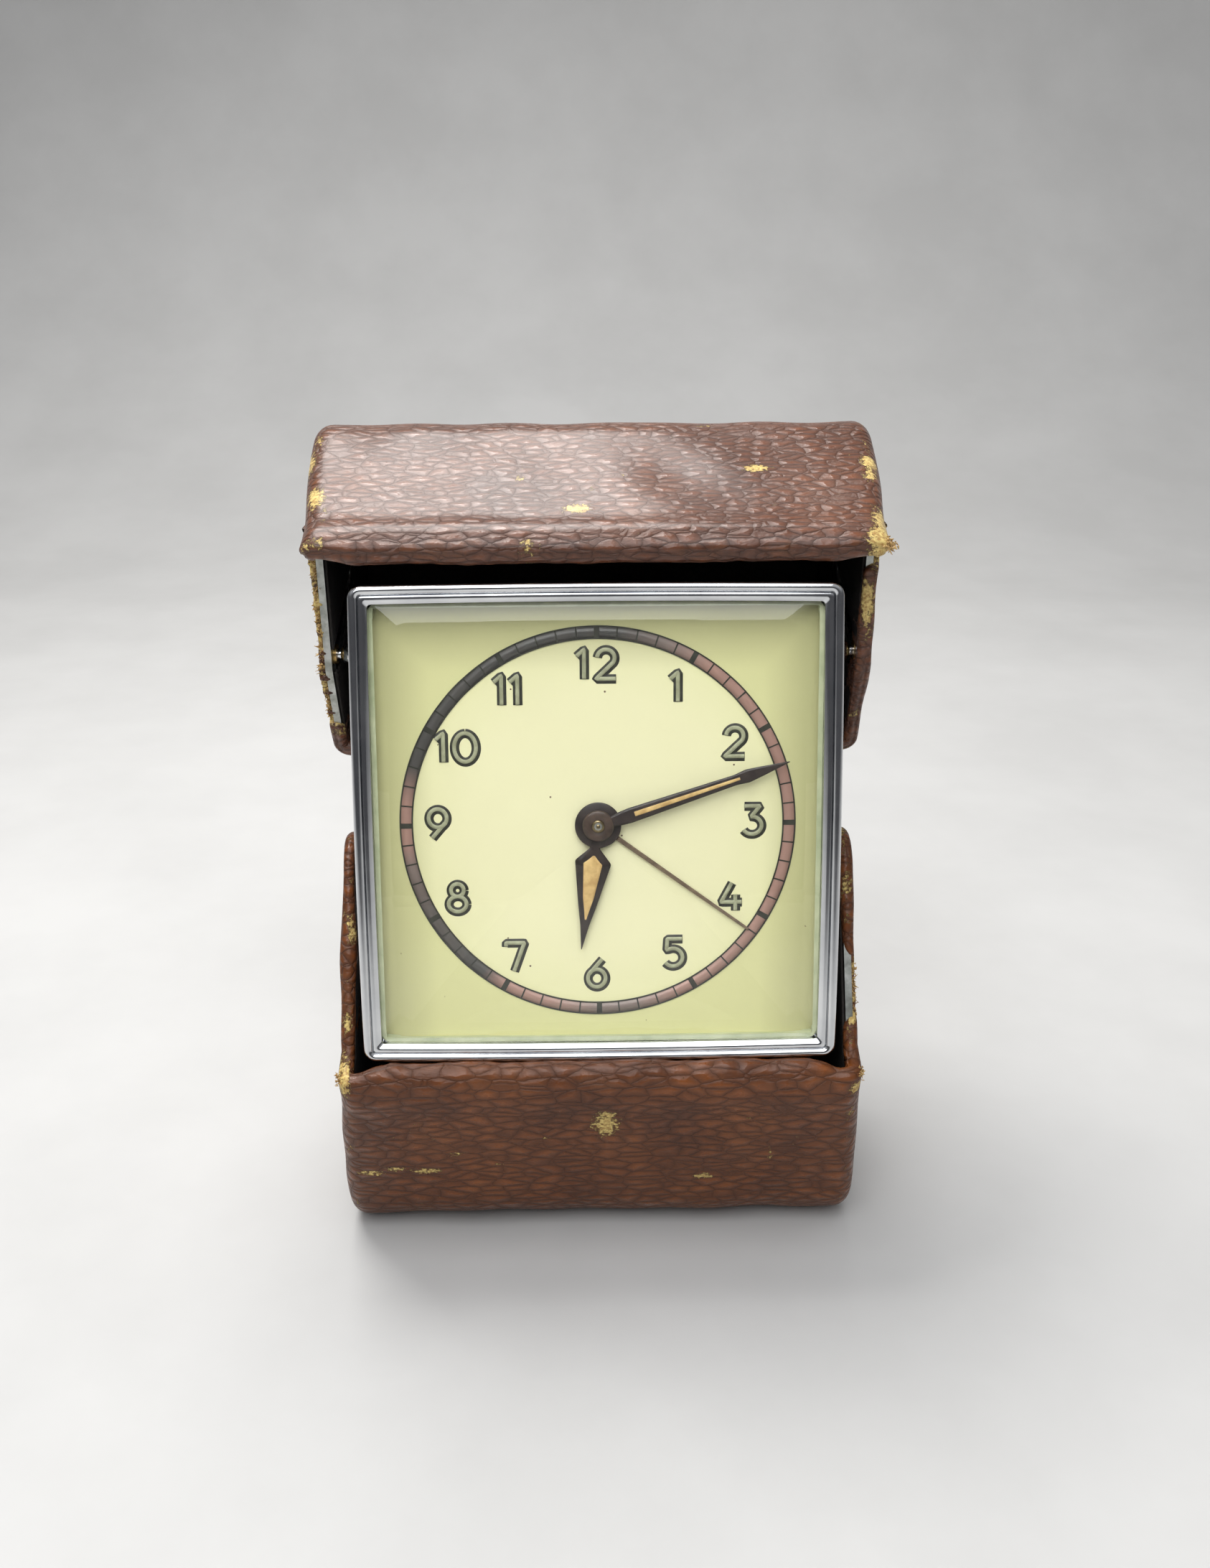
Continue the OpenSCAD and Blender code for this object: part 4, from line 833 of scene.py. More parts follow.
# %% Pen paths, as shares of the numeral's height
def arc_path(cx, cy, rx, ry, a0, a1, count=22):
    """Part of an ellipse, from angle a0 to a1 in degrees."""
    a = np.radians(np.linspace(a0, a1, count))
    return np.stack([cx + rx * np.cos(a), cy + ry * np.sin(a)], -1)


DIGITS = {
    0: [arc_path(0, 0, 0.3, 0.4, 90, 450, 40)],
    1: [np.array([[-0.17, 0.22], [0.04, 0.4], [0.04, -0.4]])],
    2: [np.concatenate([arc_path(0, 0.17, 0.24, 0.23, 175, -35), [[-0.27, -0.4], [0.27, -0.4]]])],
    3: [np.concatenate([[[-0.24, 0.4], [0.2, 0.4], [-0.04, 0.1]],
                        arc_path(-0.02, -0.15, 0.27, 0.25, 88, -150)])],
    4: [np.array([[0.02, 0.4], [-0.28, -0.16], [0.3, -0.16]]),
        np.array([[0.12, 0.06], [0.12, -0.4]])],
    5: [np.concatenate([[[0.24, 0.4], [-0.18, 0.4], [-0.2, 0.08]],
                        arc_path(-0.02, -0.14, 0.27, 0.26, 112, -145)])],
    6: [np.concatenate([[[0.16, 0.42], [-0.2, 0.0]],
                        arc_path(0.0, -0.14, 0.25, 0.26, 150, 510, 34)])],
    7: [np.array([[-0.26, 0.3], [-0.26, 0.4], [0.26, 0.4], [-0.04, -0.42]])],
    8: [arc_path(0, 0.22, 0.18, 0.18, 0, 360, 30), arc_path(0, -0.18, 0.25, 0.22, 0, 360, 34)],
    9: [np.concatenate([[[-0.16, -0.42], [0.2, 0.0]],
                        arc_path(0.0, 0.14, 0.25, 0.26, -30, 330, 34)])],
}


PEN_STEP, N_PEN = 0.1, 7  # millimetres between rings, and points round the half-ellipse


def pen(path, width, height, top):
    """Half-ellipse of a width and height carried along a flat path, with its ends closed."""
    length = np.linalg.norm(np.diff(path, axis=0), axis=1).sum()
    path = along(path, max(3, int(length / PEN_STEP)))
    ahead = np.gradient(path, axis=0)
    ahead /= np.linalg.norm(ahead, axis=1)[:, None] + 1e-12
    left = np.stack([-ahead[:, 1], ahead[:, 0]], -1)
    a = np.linspace(0, math.pi, N_PEN)
    across, rise = width / 2 * np.cos(a), height * np.sin(a)
    flat = path[:, None] + left[:, None] * across[None, :, None]
    depth = top - rise[None, :] + 0 * flat[..., 0]
    ends = flat.mean(1)
    flat = np.concatenate([flat, ends[:, None] + 0 * flat[:, :1]], 1)
    depth = np.concatenate([depth, top + 0 * depth[:, :1]], 1)
    ring = on_dial(flat[..., 0], depth, flat[..., 1])
    cap0, cap1 = (ring[i].mean(0)[None, None] + 0 * ring[:1] for i in (0, -1))
    return np.concatenate([cap0, ring, cap1]), False, True


# %% Place the numerals
NUMERAL_R, NUMERAL_H = 19.7, 4.5
NUMERAL_TOP = 3.6
ALL_ASIDE = [-0.3, 0.3]  # the circle of numerals sits a little off the dial's centre
ASIDE = {7: (-0.5, -0.3), 8: (-0.4, 0.2), 10: (-0.45, -0.3), 11: (-0.85, -0.5), 1: (0.3, -0.25),
         2: (0.3, 0.1)}
PAIRS = {10: 0.32, 11: 0.22, 12: 0.32}  # how far the two digits stand from their middle


def numerals(name, width, height, shift):
    """All the numerals as pen strokes of one width, moved by shift in the dial's plane."""
    strokes = []
    for hour in range(1, 13):
        turned = math.radians(30 * hour)
        centre = NUMERAL_R * np.array([math.sin(turned), math.cos(turned)])
        centre = centre + ALL_ASIDE + ASIDE.get(hour, (0, 0))
        digits = [(hour, 0)] if hour < 10 else [(1, -PAIRS[hour]), (hour - 10, PAIRS[hour])]
        for digit, offset in digits:
            for path in DIGITS[digit]:
                place = centre + shift + NUMERAL_H * (path + [offset, 0])
                strokes.append(pen(place, width, height, NUMERAL_TOP))
    return build(name, strokes, merge=1e-8)


numeral_fill = numerals("numerals", width=0.56, height=0.16, shift=np.array([-0.02, 0.03]))
numeral_rim = numerals("numeral_rims", width=1.18, height=0.08, shift=np.array([0.02, -0.02]))
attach(numeral_fill, "clock")
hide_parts("dial_numerals")
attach(numeral_rim, "clock")
print("numerals", len(numeral_fill.data.polygons), "faces")

# %% [markdown]
# ## Hands
# A hand is stamped from sheet and slightly crowned. Its outline is a width that changes along
# its length, and the windows are filled with yellowed paint, made as a second, smaller blade.

# %% Blade of a hand
HOUR_ANGLE, MINUTE_ANGLE, ALARM_ANGLE = 188.0, 71.6, 126.0  # clockwise from twelve
N_BLADE, N_DISC = 90, 64


def blade(name, angle, outline, top, thick, crown):
    """Grid along r and across: x = u w(r) / 2, depth = top - crown (1 - u^2), with a flat back.
    outline is a list of (distance from the centre, width)."""
    r = along([(p, 0) for p, _ in outline], N_BLADE)[:, 0]
    w = np.interp(r, [p for p, _ in outline], [q for _, q in outline])
    u = np.array([-1, -0.6, -0.25, 0.25, 0.6, 1, 1, -1])
    deep = np.array([0, 0, 0, 0, 0, 0, 1, 1])
    x = w[:, None] / 2 * u
    depth = top + deep * thick - (1 - deep) * crown * (1 - u * u) + 0 * x
    a = math.radians(angle)
    up = r[:, None] * math.cos(a) - x * math.sin(a)
    right = r[:, None] * math.sin(a) + x * math.cos(a)
    ring = on_dial(right, depth, up)
    cap0, cap1 = (ring[i].mean(0)[None, None] + 0 * ring[:1] for i in (0, -1))
    return build(name, [(np.concatenate([cap0, ring, cap1]), False, True)], merge=1e-7)


def disc(name, profile):
    """Profile of (radius, depth) turned round the dial's centre."""
    a = np.linspace(0, 2 * math.pi, N_DISC, endpoint=False)[:, None]
    r = np.array([p[0] for p in profile])[None, :]
    depth = np.array([p[1] for p in profile])[None, :] + 0 * a
    sheet = on_dial(r * np.sin(a), depth, r * np.cos(a))
    return build(name, [(sheet, True, False)], merge=1e-7)


# %% Hour hand
hour_hand = blade("hour_hand_blade", HOUR_ANGLE, [
    (1.5, 1.3), (3.0, 1.3), (4.7, 4.5), (4.95, 4.5), (10.4, 2.3), (13.0, 1.1), (16.1, 0.1)],
    top=2.68, thick=0.15, crown=0.04)
hour_lume = blade("hour_hand_paint", HOUR_ANGLE, [
    (3.9, 0.3), (4.95, 2.6), (9.4, 1.5), (12.2, 0.25)], top=2.66, thick=0.1, crown=0.06)
hour_hub = disc("hour_hand_hub", [
    (0.9, 2.87), (2.9, 2.87), (2.9, 2.74), (2.75, 2.66), (0.9, 2.66)])
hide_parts("hour_hand")
for piece in (hour_hand, hour_lume, hour_hub):
    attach(piece, "hour_body")
    print(piece.name, len(piece.data.polygons), "faces")

# %% Minute hand
minute_hand = blade("minute_hand_blade", MINUTE_ANGLE, [
    (1.2, 1.2), (3.0, 1.7), (4.2, 1.9), (18.0, 1.3), (19.6, 1.7), (21.5, 1.2), (25.1, 0.1)],
    top=2.18, thick=0.15, crown=0.04)
minute_lume = blade("minute_hand_paint", MINUTE_ANGLE, [
    (4.8, 0.7), (6.0, 0.72), (17.5, 0.46), (18.6, 0.4)], top=2.16, thick=0.1, crown=0.06)
minute_hub = disc("minute_hand_hub", [
    (0.56, 2.5), (1.95, 2.5), (1.95, 2.2), (1.8, 2.08), (1.15, 2.06), (1.0, 2.14), (0.56, 2.14)])
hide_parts("minute_hand")
for piece in (minute_hand, minute_lume, minute_hub):
    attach(piece, "minute_body")
    print(piece.name, len(piece.data.polygons), "faces")

# %% [markdown]
# In the middle of the hands stands the end of the centre arbor, turned with a ring groove
# and a small bright pip. Like the hubs, it is a profile turned round the dial's centre.

# %% Centre pin
centre_pin = disc("centre_pin", [
    (0.03, 1.84), (0.22, 1.9), (0.3, 2.0), (0.44, 2.0), (0.5, 1.93), (0.7, 1.96), (0.8, 2.06),
    (0.8, 2.3), (0.03, 2.3)])
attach(centre_pin, "minute_body")

# %% Alarm hand
alarm_hand = blade("alarm_hand_blade", ALARM_ANGLE, [(1.5, 0.6), (23.4, 0.34)],
                   top=3.17, thick=0.12, crown=0.03)
alarm_hub = disc("alarm_hand_hub", [
    (1.25, 3.34), (2.1, 3.34), (2.1, 3.2), (2.0, 3.16), (1.25, 3.16)])
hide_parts("alarm_hand")
for piece in (alarm_hand, alarm_hub):
    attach(piece, "alarm_hand_body")
    print(piece.name, len(piece.data.polygons), "faces")

# %% [markdown]
# ## Finishes
# Real leather, chrome and lacquer never have one flat colour. Effects that several finishes
# share are node groups that give only masks, values and normals. The shader stays in each
# material.

# %% Node helpers
def node(tree, kind, values=None, **settings):
    """A node with its settings and its input values."""
    made = tree.nodes.new(kind)
    for key, value in settings.items():
        setattr(made, key, value)
    for key, value in (values or {}).items():
        made.inputs[key].default_value = value
    return made


def join(tree, *pairs):
    """Links output to input, pair by pair."""
    for source, target in pairs:
        tree.links.new(source, target)


def ramp(tree, stops):
    """Colour ramp from (place, colour) stops."""
    made = tree.nodes.new("ShaderNodeValToRGB")
    elements = made.color_ramp.elements
    while len(elements) < len(stops):
        elements.new(0.5)
    for element, (place, colour) in zip(elements, stops):
        element.position = place
        element.color = (*colour, 1) if len(colour) == 3 else colour
    return made


def mixer(tree, factor, a, b):
    """Colour mix. Each argument is a socket or a value."""
    made = node(tree, "ShaderNodeMix", data_type="RGBA")
    for socket, value in ((made.inputs[0], factor), (made.inputs[6], a), (made.inputs[7], b)):
        if hasattr(value, "links"):
            tree.links.new(value, socket)
        else:
            colour = isinstance(value, tuple) and len(value) == 3
            socket.default_value = (*value, 1) if colour else value
    return made.outputs[2]


def new_group(name, inputs, outputs):
    """Node group with float inputs (name, default) and outputs (name, type)."""
    group = bpy.data.node_groups.new(name, "ShaderNodeTree")
    for label, default in inputs:
        socket = group.interface.new_socket(label, in_out="INPUT", socket_type="NodeSocketFloat")
        socket.default_value = default
    for label, kind in outputs:
        group.interface.new_socket(label, in_out="OUTPUT", socket_type=kind)
    return group, group.nodes.new("NodeGroupInput"), group.nodes.new("NodeGroupOutput")


def finish(name, roughness, metallic=0.0, **sockets):
    """Material with a Principled shader whose plain values are set on its own sockets."""
    made = bpy.data.materials.new(name)
    made.use_nodes = True
    shader = made.node_tree.nodes["Principled BSDF"]
    shader.inputs["Roughness"].default_value = roughness
    shader.inputs["Metallic"].default_value = metallic
    for label, value in sockets.items():
        shader.inputs[label.replace("_", " ")].default_value = value
    return made, made.node_tree, shader


# %% Place a group
def placed(tree, group, values):
    """A group's node with its own input values."""
    made = node(tree, "ShaderNodeGroup")
    made.node_tree = group
    for key, value in values.items():
        made.inputs[key].default_value = value
    return made


def math_node(tree, operation, a, b=0.0, clamp=False):
    """Maths on two sockets or numbers."""
    made = node(tree, "ShaderNodeMath", operation=operation, use_clamp=clamp)
    for socket, value in ((made.inputs[0], a), (made.inputs[1], b)):
        if hasattr(value, "links"):
            tree.links.new(value, socket)
        else:
            socket.default_value = value
    return made.outputs[0]


# %% [markdown]
# The mottle is a soft cloud. Every finish uses it at its own scale, so that no surface has
# one flat colour.

# %% Group: mottle
mottle, mottle_in, mottle_out = new_group(
    "mottle", [("Scale", 200.0), ("Detail", 4.0)], [("Value", "NodeSocketFloat")])
at = node(mottle, "ShaderNodeTexCoord")
cloud = node(mottle, "ShaderNodeTexNoise", {"Roughness": 0.6})
join(mottle, (at.outputs["Object"], cloud.inputs["Vector"]),
     (mottle_in.outputs["Scale"], cloud.inputs["Scale"]),
     (mottle_in.outputs["Detail"], cloud.inputs["Detail"]),
     (cloud.outputs["Fac"], mottle_out.inputs["Value"]))

# %% [markdown]
# Leather grain is small pebbles between creases. A Voronoi pattern gives the cells, a noise
# bends them, and the pattern is stretched along the case, as the hide was when it was glued.
# Long folds lie over it. The group gives the height and a mask of the creases.

# %% Group: leather grain
grain, grain_in, grain_out = new_group(
    "leather_grain", [("Cells", 1500.0), ("Bend", 0.5), ("Crease", 0.09), ("Wrinkle", 0.5)],
    [("Height", "NodeSocketFloat"), ("Creases", "NodeSocketFloat")])
at = node(grain, "ShaderNodeTexCoord")
stretch = node(grain, "ShaderNodeMapping", {"Scale": (0.42, 1.0, 1.0)})
bender = node(grain, "ShaderNodeTexNoise", {"Scale": 700.0, "Detail": 3.0})
centred = node(grain, "ShaderNodeVectorMath", {1: (0.5, 0.5, 0.5)}, operation="SUBTRACT")
sized = node(grain, "ShaderNodeVectorMath", operation="SCALE")
bent = node(grain, "ShaderNodeVectorMath", operation="ADD")
amount = math_node(grain, "MULTIPLY", grain_in.outputs["Bend"], 0.001)
cells = node(grain, "ShaderNodeTexVoronoi", feature="DISTANCE_TO_EDGE")
small = node(grain, "ShaderNodeTexVoronoi", feature="DISTANCE_TO_EDGE")
fine_scale = math_node(grain, "MULTIPLY", grain_in.outputs["Cells"], 2.6)
join(grain, (at.outputs["Object"], stretch.inputs["Vector"]),
     (at.outputs["Object"], bender.inputs["Vector"]),
     (bender.outputs["Color"], centred.inputs[0]), (centred.outputs[0], sized.inputs[0]),
     (amount, sized.inputs["Scale"]), (stretch.outputs[0], bent.inputs[0]),
     (sized.outputs[0], bent.inputs[1]),
     (bent.outputs[0], cells.inputs["Vector"]), (bent.outputs[0], small.inputs["Vector"]),
     (grain_in.outputs["Cells"], cells.inputs["Scale"]), (fine_scale, small.inputs["Scale"]))
wide = math_node(grain, "DIVIDE", cells.outputs["Distance"], grain_in.outputs["Crease"], True)
narrow = math_node(grain, "DIVIDE", small.outputs["Distance"], grain_in.outputs["Crease"], True)
dome = math_node(grain, "POWER", wide, 0.6)
small_dome = math_node(grain, "MULTIPLY", narrow, 0.08)
fold_way = node(grain, "ShaderNodeMapping", {"Scale": (0.22, 1.0, 1.0)})
folds = node(grain, "ShaderNodeTexNoise", {"Scale": 1000.0, "Detail": 1.0, "Roughness": 0.5})
join(grain, (at.outputs["Object"], fold_way.inputs["Vector"]),
     (fold_way.outputs[0], folds.inputs["Vector"]))
fold_height = math_node(grain, "MULTIPLY", folds.outputs["Fac"], grain_in.outputs["Wrinkle"])
height = math_node(grain, "ADD", math_node(grain, "ADD", dome, small_dome), fold_height)
creases = math_node(grain, "SUBTRACT", 1.0, wide, True)
join(grain, (height, grain_out.inputs["Height"]), (creases, grain_out.inputs["Creases"]))

# %% [markdown]
# The numbers for wear sit on the skin's points, a few tenths of a millimetre apart. Noise
# breaks their outlines up, so that mesh still gives ragged edges.

# %% Group: ragged mask from an attribute
ragged, ragged_in, ragged_out = new_group(
    "ragged_mask", [("Amount", 0.0), ("Scale", 900.0), ("Sharpness", 5.0)],
    [("Mask", "NodeSocketFloat")])
at = node(ragged, "ShaderNodeTexCoord")
cloud = node(ragged, "ShaderNodeTexNoise", {"Detail": 6.0, "Roughness": 0.7})
join(ragged, (at.outputs["Object"], cloud.inputs["Vector"]),
     (ragged_in.outputs["Scale"], cloud.inputs["Scale"]))
spread = math_node(ragged, "MULTIPLY_ADD", cloud.outputs["Fac"], 1.8)
spread.node.inputs[2].default_value = -0.4
total = math_node(ragged, "ADD", ragged_in.outputs["Amount"], spread)
above = math_node(ragged, "SUBTRACT", total, 1.0)
sharp = math_node(ragged, "MULTIPLY", above, ragged_in.outputs["Sharpness"], True)
join(ragged, (sharp, ragged_out.inputs["Mask"]))

# %% [markdown]
# The creases are darkened with painted shade, which leaves the pebbles lighter. Rubbing makes
# it redder, and a scrape bares the tan inside. Each is a mask that mixes one more colour over
# the last, and the scrape also takes the gloss and the relief away.

# %% Leather
# The second colour is painted shade for the creases of the grain.
RUBBED, CREASE_SHADE = (0.22, 0.075, 0.024), (0.028, 0.011, 0.006)
TAN = [(0.35, (0.36, 0.21, 0.07)), (0.6, (0.70, 0.54, 0.20))]


def leather_finish(name, tones, cells_scale, wrinkle, gloss, coat, sheen):
    """Brown hide in three tones, with its grain, its rubbed places and its scrapes."""
    made, tree, shader = finish(name, gloss, Coat_Weight=coat, Coat_Roughness=0.22,
                                Sheen_Weight=sheen, Sheen_Roughness=0.4)
    shader.inputs["Sheen Tint"].default_value = (1.0, 0.80, 0.72, 1)
    shader.inputs["Specular IOR Level"].default_value = 0.35
    pebbles = placed(tree, grain, {"Cells": cells_scale, "Bend": 0.35, "Crease": 0.4,
                                   "Wrinkle": wrinkle})
    cloud = placed(tree, mottle, {"Scale": 90.0, "Detail": 5.0})
    hide = ramp(tree, list(zip((0.35, 0.55, 0.75), tones)))
    worn = node(tree, "ShaderNodeAttribute", attribute_name="rubbed")
    through = node(tree, "ShaderNodeAttribute", attribute_name="scraped")
    rub = placed(tree, ragged, {"Scale": 500.0, "Sharpness": 2.2})
    scrape = placed(tree, ragged, {"Scale": 2000.0, "Sharpness": 6.0})
    scraped = scrape.outputs["Mask"]
    rubbed = mixer(tree, rub.outputs["Mask"], hide.outputs["Color"], RUBBED)
    # Painted shade: the creases of the grain are darkened.
    crease_shade_share = math_node(tree, "MULTIPLY", pebbles.outputs["Creases"], 0.6)
    crease_shaded = mixer(tree, crease_shade_share, rubbed, CREASE_SHADE)
    tan = ramp(tree, TAN)
    fluff = placed(tree, mottle, {"Scale": 2500.0, "Detail": 3.0})
    coloured = mixer(tree, scraped, crease_shaded, tan.outputs["Color"])
    rough = math_node(tree, "MULTIPLY_ADD", pebbles.outputs["Creases"], 0.3)
    rough.node.inputs[2].default_value = gloss
    rougher = math_node(tree, "ADD", rough, scraped, True)
    flatter = math_node(tree, "SUBTRACT", 1.0, math_node(tree, "MULTIPLY", scraped, 0.8))
    tall = math_node(tree, "MULTIPLY", pebbles.outputs["Height"], flatter)
    relief = node(tree, "ShaderNodeBump", {"Strength": 1.0, "Distance": 0.00026})
    swell = node(tree, "ShaderNodeBump", {"Strength": 0.5, "Distance": 0.0006})
    join(tree, (cloud.outputs["Value"], hide.inputs["Fac"]),
         (worn.outputs["Fac"], rub.inputs["Amount"]),
         (through.outputs["Fac"], scrape.inputs["Amount"]),
         (fluff.outputs["Value"], tan.inputs["Fac"]),
         (coloured, shader.inputs["Base Color"]), (rougher, shader.inputs["Roughness"]),
         (cloud.outputs["Value"], swell.inputs["Height"]),
         (swell.outputs["Normal"], relief.inputs["Normal"]),
         (tall, relief.inputs["Height"]), (relief.outputs["Normal"], shader.inputs["Normal"]))
    return made


upper_leather = leather_finish(
    "upper_leather", ((0.12, 0.040, 0.018), (0.170, 0.059, 0.027), (0.215, 0.080, 0.038)),
    cells_scale=900.0, wrinkle=0.35, gloss=0.24, coat=0.4, sheen=0.06)
lower_leather = leather_finish(
    "lower_leather", ((0.14, 0.040, 0.009), (0.205, 0.061, 0.014), (0.25, 0.080, 0.020)),
    cells_scale=740.0, wrinkle=0.2, gloss=0.24, coat=0.15, sheen=0.0)

# %% [markdown]
# Metal finishes share one recipe: a cloudy tint, a cloudy gloss and a trace of relief. An
# even grey would look like plastic, because worn metal is never equally bright all over.

# %% Metals
def mottled(name, dark, light, roughness, metallic=0.0, scale=200.0, bump=0.05, spread=0.08):
    """Two colours mixed by the mottle, which also moves the gloss and a little relief."""
    made, tree, shader = finish(name, roughness, metallic)
    cloudy = placed(tree, mottle, {"Scale": scale, "Detail": 5.0})
    colours = ramp(tree, [(0.35, dark), (0.65, light)])
    gloss = math_node(tree, "MULTIPLY_ADD", cloudy.outputs["Value"], spread)
    gloss.node.inputs[2].default_value = max(0.02, roughness - spread / 2)
    relief = node(tree, "ShaderNodeBump", {"Strength": bump, "Distance": 0.0002})
    join(tree, (cloudy.outputs["Value"], colours.inputs["Fac"]),
         (colours.outputs["Color"], shader.inputs["Base Color"]),
         (gloss, shader.inputs["Roughness"]), (cloudy.outputs["Value"], relief.inputs["Height"]),
         (relief.outputs["Normal"], shader.inputs["Normal"]))
    return made


chrome = mottled("chrome", (0.60, 0.61, 0.63), (0.74, 0.75, 0.76), 0.12, 1.0,
                 scale=150.0, bump=0.02, spread=0.1)
brass = mottled("brass", (0.42, 0.27, 0.1), (0.62, 0.44, 0.2), 0.3, 1.0, scale=300.0, spread=0.15)
steel = mottled("worn_steel", (0.28, 0.29, 0.26), (0.55, 0.56, 0.53), 0.36, 1.0,
                scale=600.0, bump=0.2, spread=0.25)
blue = mottled("blued_steel", (0.04, 0.06, 0.14), (0.08, 0.12, 0.25), 0.25, 1.0)
worn_brass = mottled("worn_brass", (0.12, 0.09, 0.05), (0.45, 0.36, 0.2), 0.35, 1.0,
                     scale=900.0, bump=0.1, spread=0.15)
alarm_metal = mottled("alarm_hand_metal", (0.14, 0.10, 0.07), (0.26, 0.19, 0.13), 0.4, 0.5,
                      scale=900.0)

# %% [markdown]
# Paints, fibres and the lining use the same recipe without the metal.

# %% Paints and cloth
hub_brown = mottled("hub_brown", (0.035, 0.022, 0.016), (0.09, 0.06, 0.045), 0.3, scale=600.0)
lume = mottled("numeral_paint", (0.27, 0.275, 0.17), (0.40, 0.41, 0.27), 0.6,
               scale=900.0, bump=0.3)
outline = mottled("print_dark", (0.014, 0.014, 0.009), (0.036, 0.036, 0.024), 0.5, scale=1200.0)
hand_paint = mottled("hand_paint", (0.50, 0.31, 0.11), (0.74, 0.52, 0.22), 0.6,
                     scale=700.0, bump=0.3)
hand_black = mottled("hand_black", (0.016, 0.011, 0.010), (0.04, 0.028, 0.024), 0.38, scale=600.0)
fray = mottled("torn_fibre", (0.34, 0.19, 0.07), (0.62, 0.43, 0.18), 0.8, scale=2500.0, bump=0.4)
spacer_paint = mottled("spacer_paint", (0.36, 0.40, 0.24), (0.50, 0.53, 0.34), 0.4, scale=300.0)
lining_cloth = mottled("lining_cloth", (0.008, 0.006, 0.005), (0.022, 0.016, 0.013), 0.8,
                       scale=1500.0, bump=0.5)

# %% [markdown]
# The dial is cream inside the minute ring and greener outside it, with a few brown specks.
# A Mapping node turns the frame's directions into the dial's own, and the distance from the
# centre picks the colour.

# %% Dial lacquer
DIAL_LEAN = math.atan2(dial_axis[2], dial_axis[1])
DIAL_REACH = 0.036  # from the centre to a corner of the dial, in metres
DIAL_TONES = [(0.0, (0.86, 0.83, 0.55)), (0.45, (0.84, 0.81, 0.52)), (0.62, (0.80, 0.78, 0.47)),
              (0.69, (0.66, 0.65, 0.33)), (1.0, (0.60, 0.59, 0.29))]
# The second colour is painted shade, the bezel's shadow on the dial's edge; the others are a stain
# and rust specks.
STAIN, BEZEL_SHADOW_TONE, SPECK = (0.62, 0.58, 0.31), (0.26, 0.25, 0.12), (0.12, 0.07, 0.03)


def dial_places(tree):
    """Object coordinates turned and centred on the dial: x right, z up, from the centre."""
    at = node(tree, "ShaderNodeTexCoord")
    turned = node(tree, "ShaderNodeMapping",
                  {"Location": tuple(dial_centre), "Rotation": (DIAL_LEAN, 0, 0)},
                  vector_type="TEXTURE")
    parts = node(tree, "ShaderNodeSeparateXYZ")
    join(tree, (at.outputs["Object"], turned.inputs["Vector"]),
         (turned.outputs[0], parts.inputs[0]))
    return parts.outputs["X"], parts.outputs["Z"], at


enamel, tree, shader = finish("dial_lacquer", 0.42, Coat_Weight=0.1, Coat_Roughness=0.25)
right, up, at = dial_places(tree)
far = math_node(tree, "SQRT", math_node(tree, "ADD", math_node(tree, "MULTIPLY", right, right),
                                       math_node(tree, "MULTIPLY", up, up)))
share = math_node(tree, "DIVIDE", far, DIAL_REACH, True)
tones = ramp(tree, DIAL_TONES)
stain = placed(tree, mottle, {"Scale": 55.0, "Detail": 6.0})
stained = math_node(tree, "MULTIPLY", stain.outputs["Value"], 0.25)
stain_and_shadow = mixer(tree, stained, tones.outputs["Color"], STAIN)
join(tree, (share, tones.inputs["Fac"]))

# %% [markdown]
# The bezel's shadow on the top and the sides of the dial is painted into the lacquer as a
# darker border, and a few specks of rust have come up. The painted shadow is a distance from
# the square's middle, and a speck is the core of a Voronoi cell, kept only where a second noise is
# high.

# %% Painted bezel shadow and specks of the dial
SHADOW_TOP_EXTRA = 0.0012  # the painted shadow reaches further in at the top than at the sides
across = math_node(tree, "ABSOLUTE", right)
shadow_place = math_node(tree, "MAXIMUM", across, math_node(tree, "ADD", up, SHADOW_TOP_EXTRA))
# Painted shadow of the bezel, darkest at the dial's top and sides.
painted_bezel_shadow = node(tree, "ShaderNodeMapRange", {"From Min": 0.0205, "From Max": 0.0285, "To Max": 0.75})
stain_and_shadow = mixer(tree, painted_bezel_shadow.outputs["Result"], stain_and_shadow, BEZEL_SHADOW_TONE)
specks = node(tree, "ShaderNodeTexVoronoi", {"Scale": 420.0, "Randomness": 1.0})
tiny = math_node(tree, "LESS_THAN", specks.outputs["Distance"], 0.055)
rare = node(tree, "ShaderNodeTexNoise", {"Scale": 260.0, "Detail": 1.0})
seldom = math_node(tree, "GREATER_THAN", rare.outputs["Fac"], 0.56)
speckled = mixer(tree, math_node(tree, "MULTIPLY", tiny, seldom), stain_and_shadow, SPECK)
join(tree, (shadow_place, painted_bezel_shadow.inputs["Value"]), (at.outputs["Object"], specks.inputs["Vector"]),
     (at.outputs["Object"], rare.inputs["Vector"]), (speckled, shader.inputs["Base Color"]))

# %% [markdown]
# The ring's copper print has blackened over parts of its turn. The angle from the top picks
# the colour from a ramp, which puts each dark stretch where it is on the real ring.

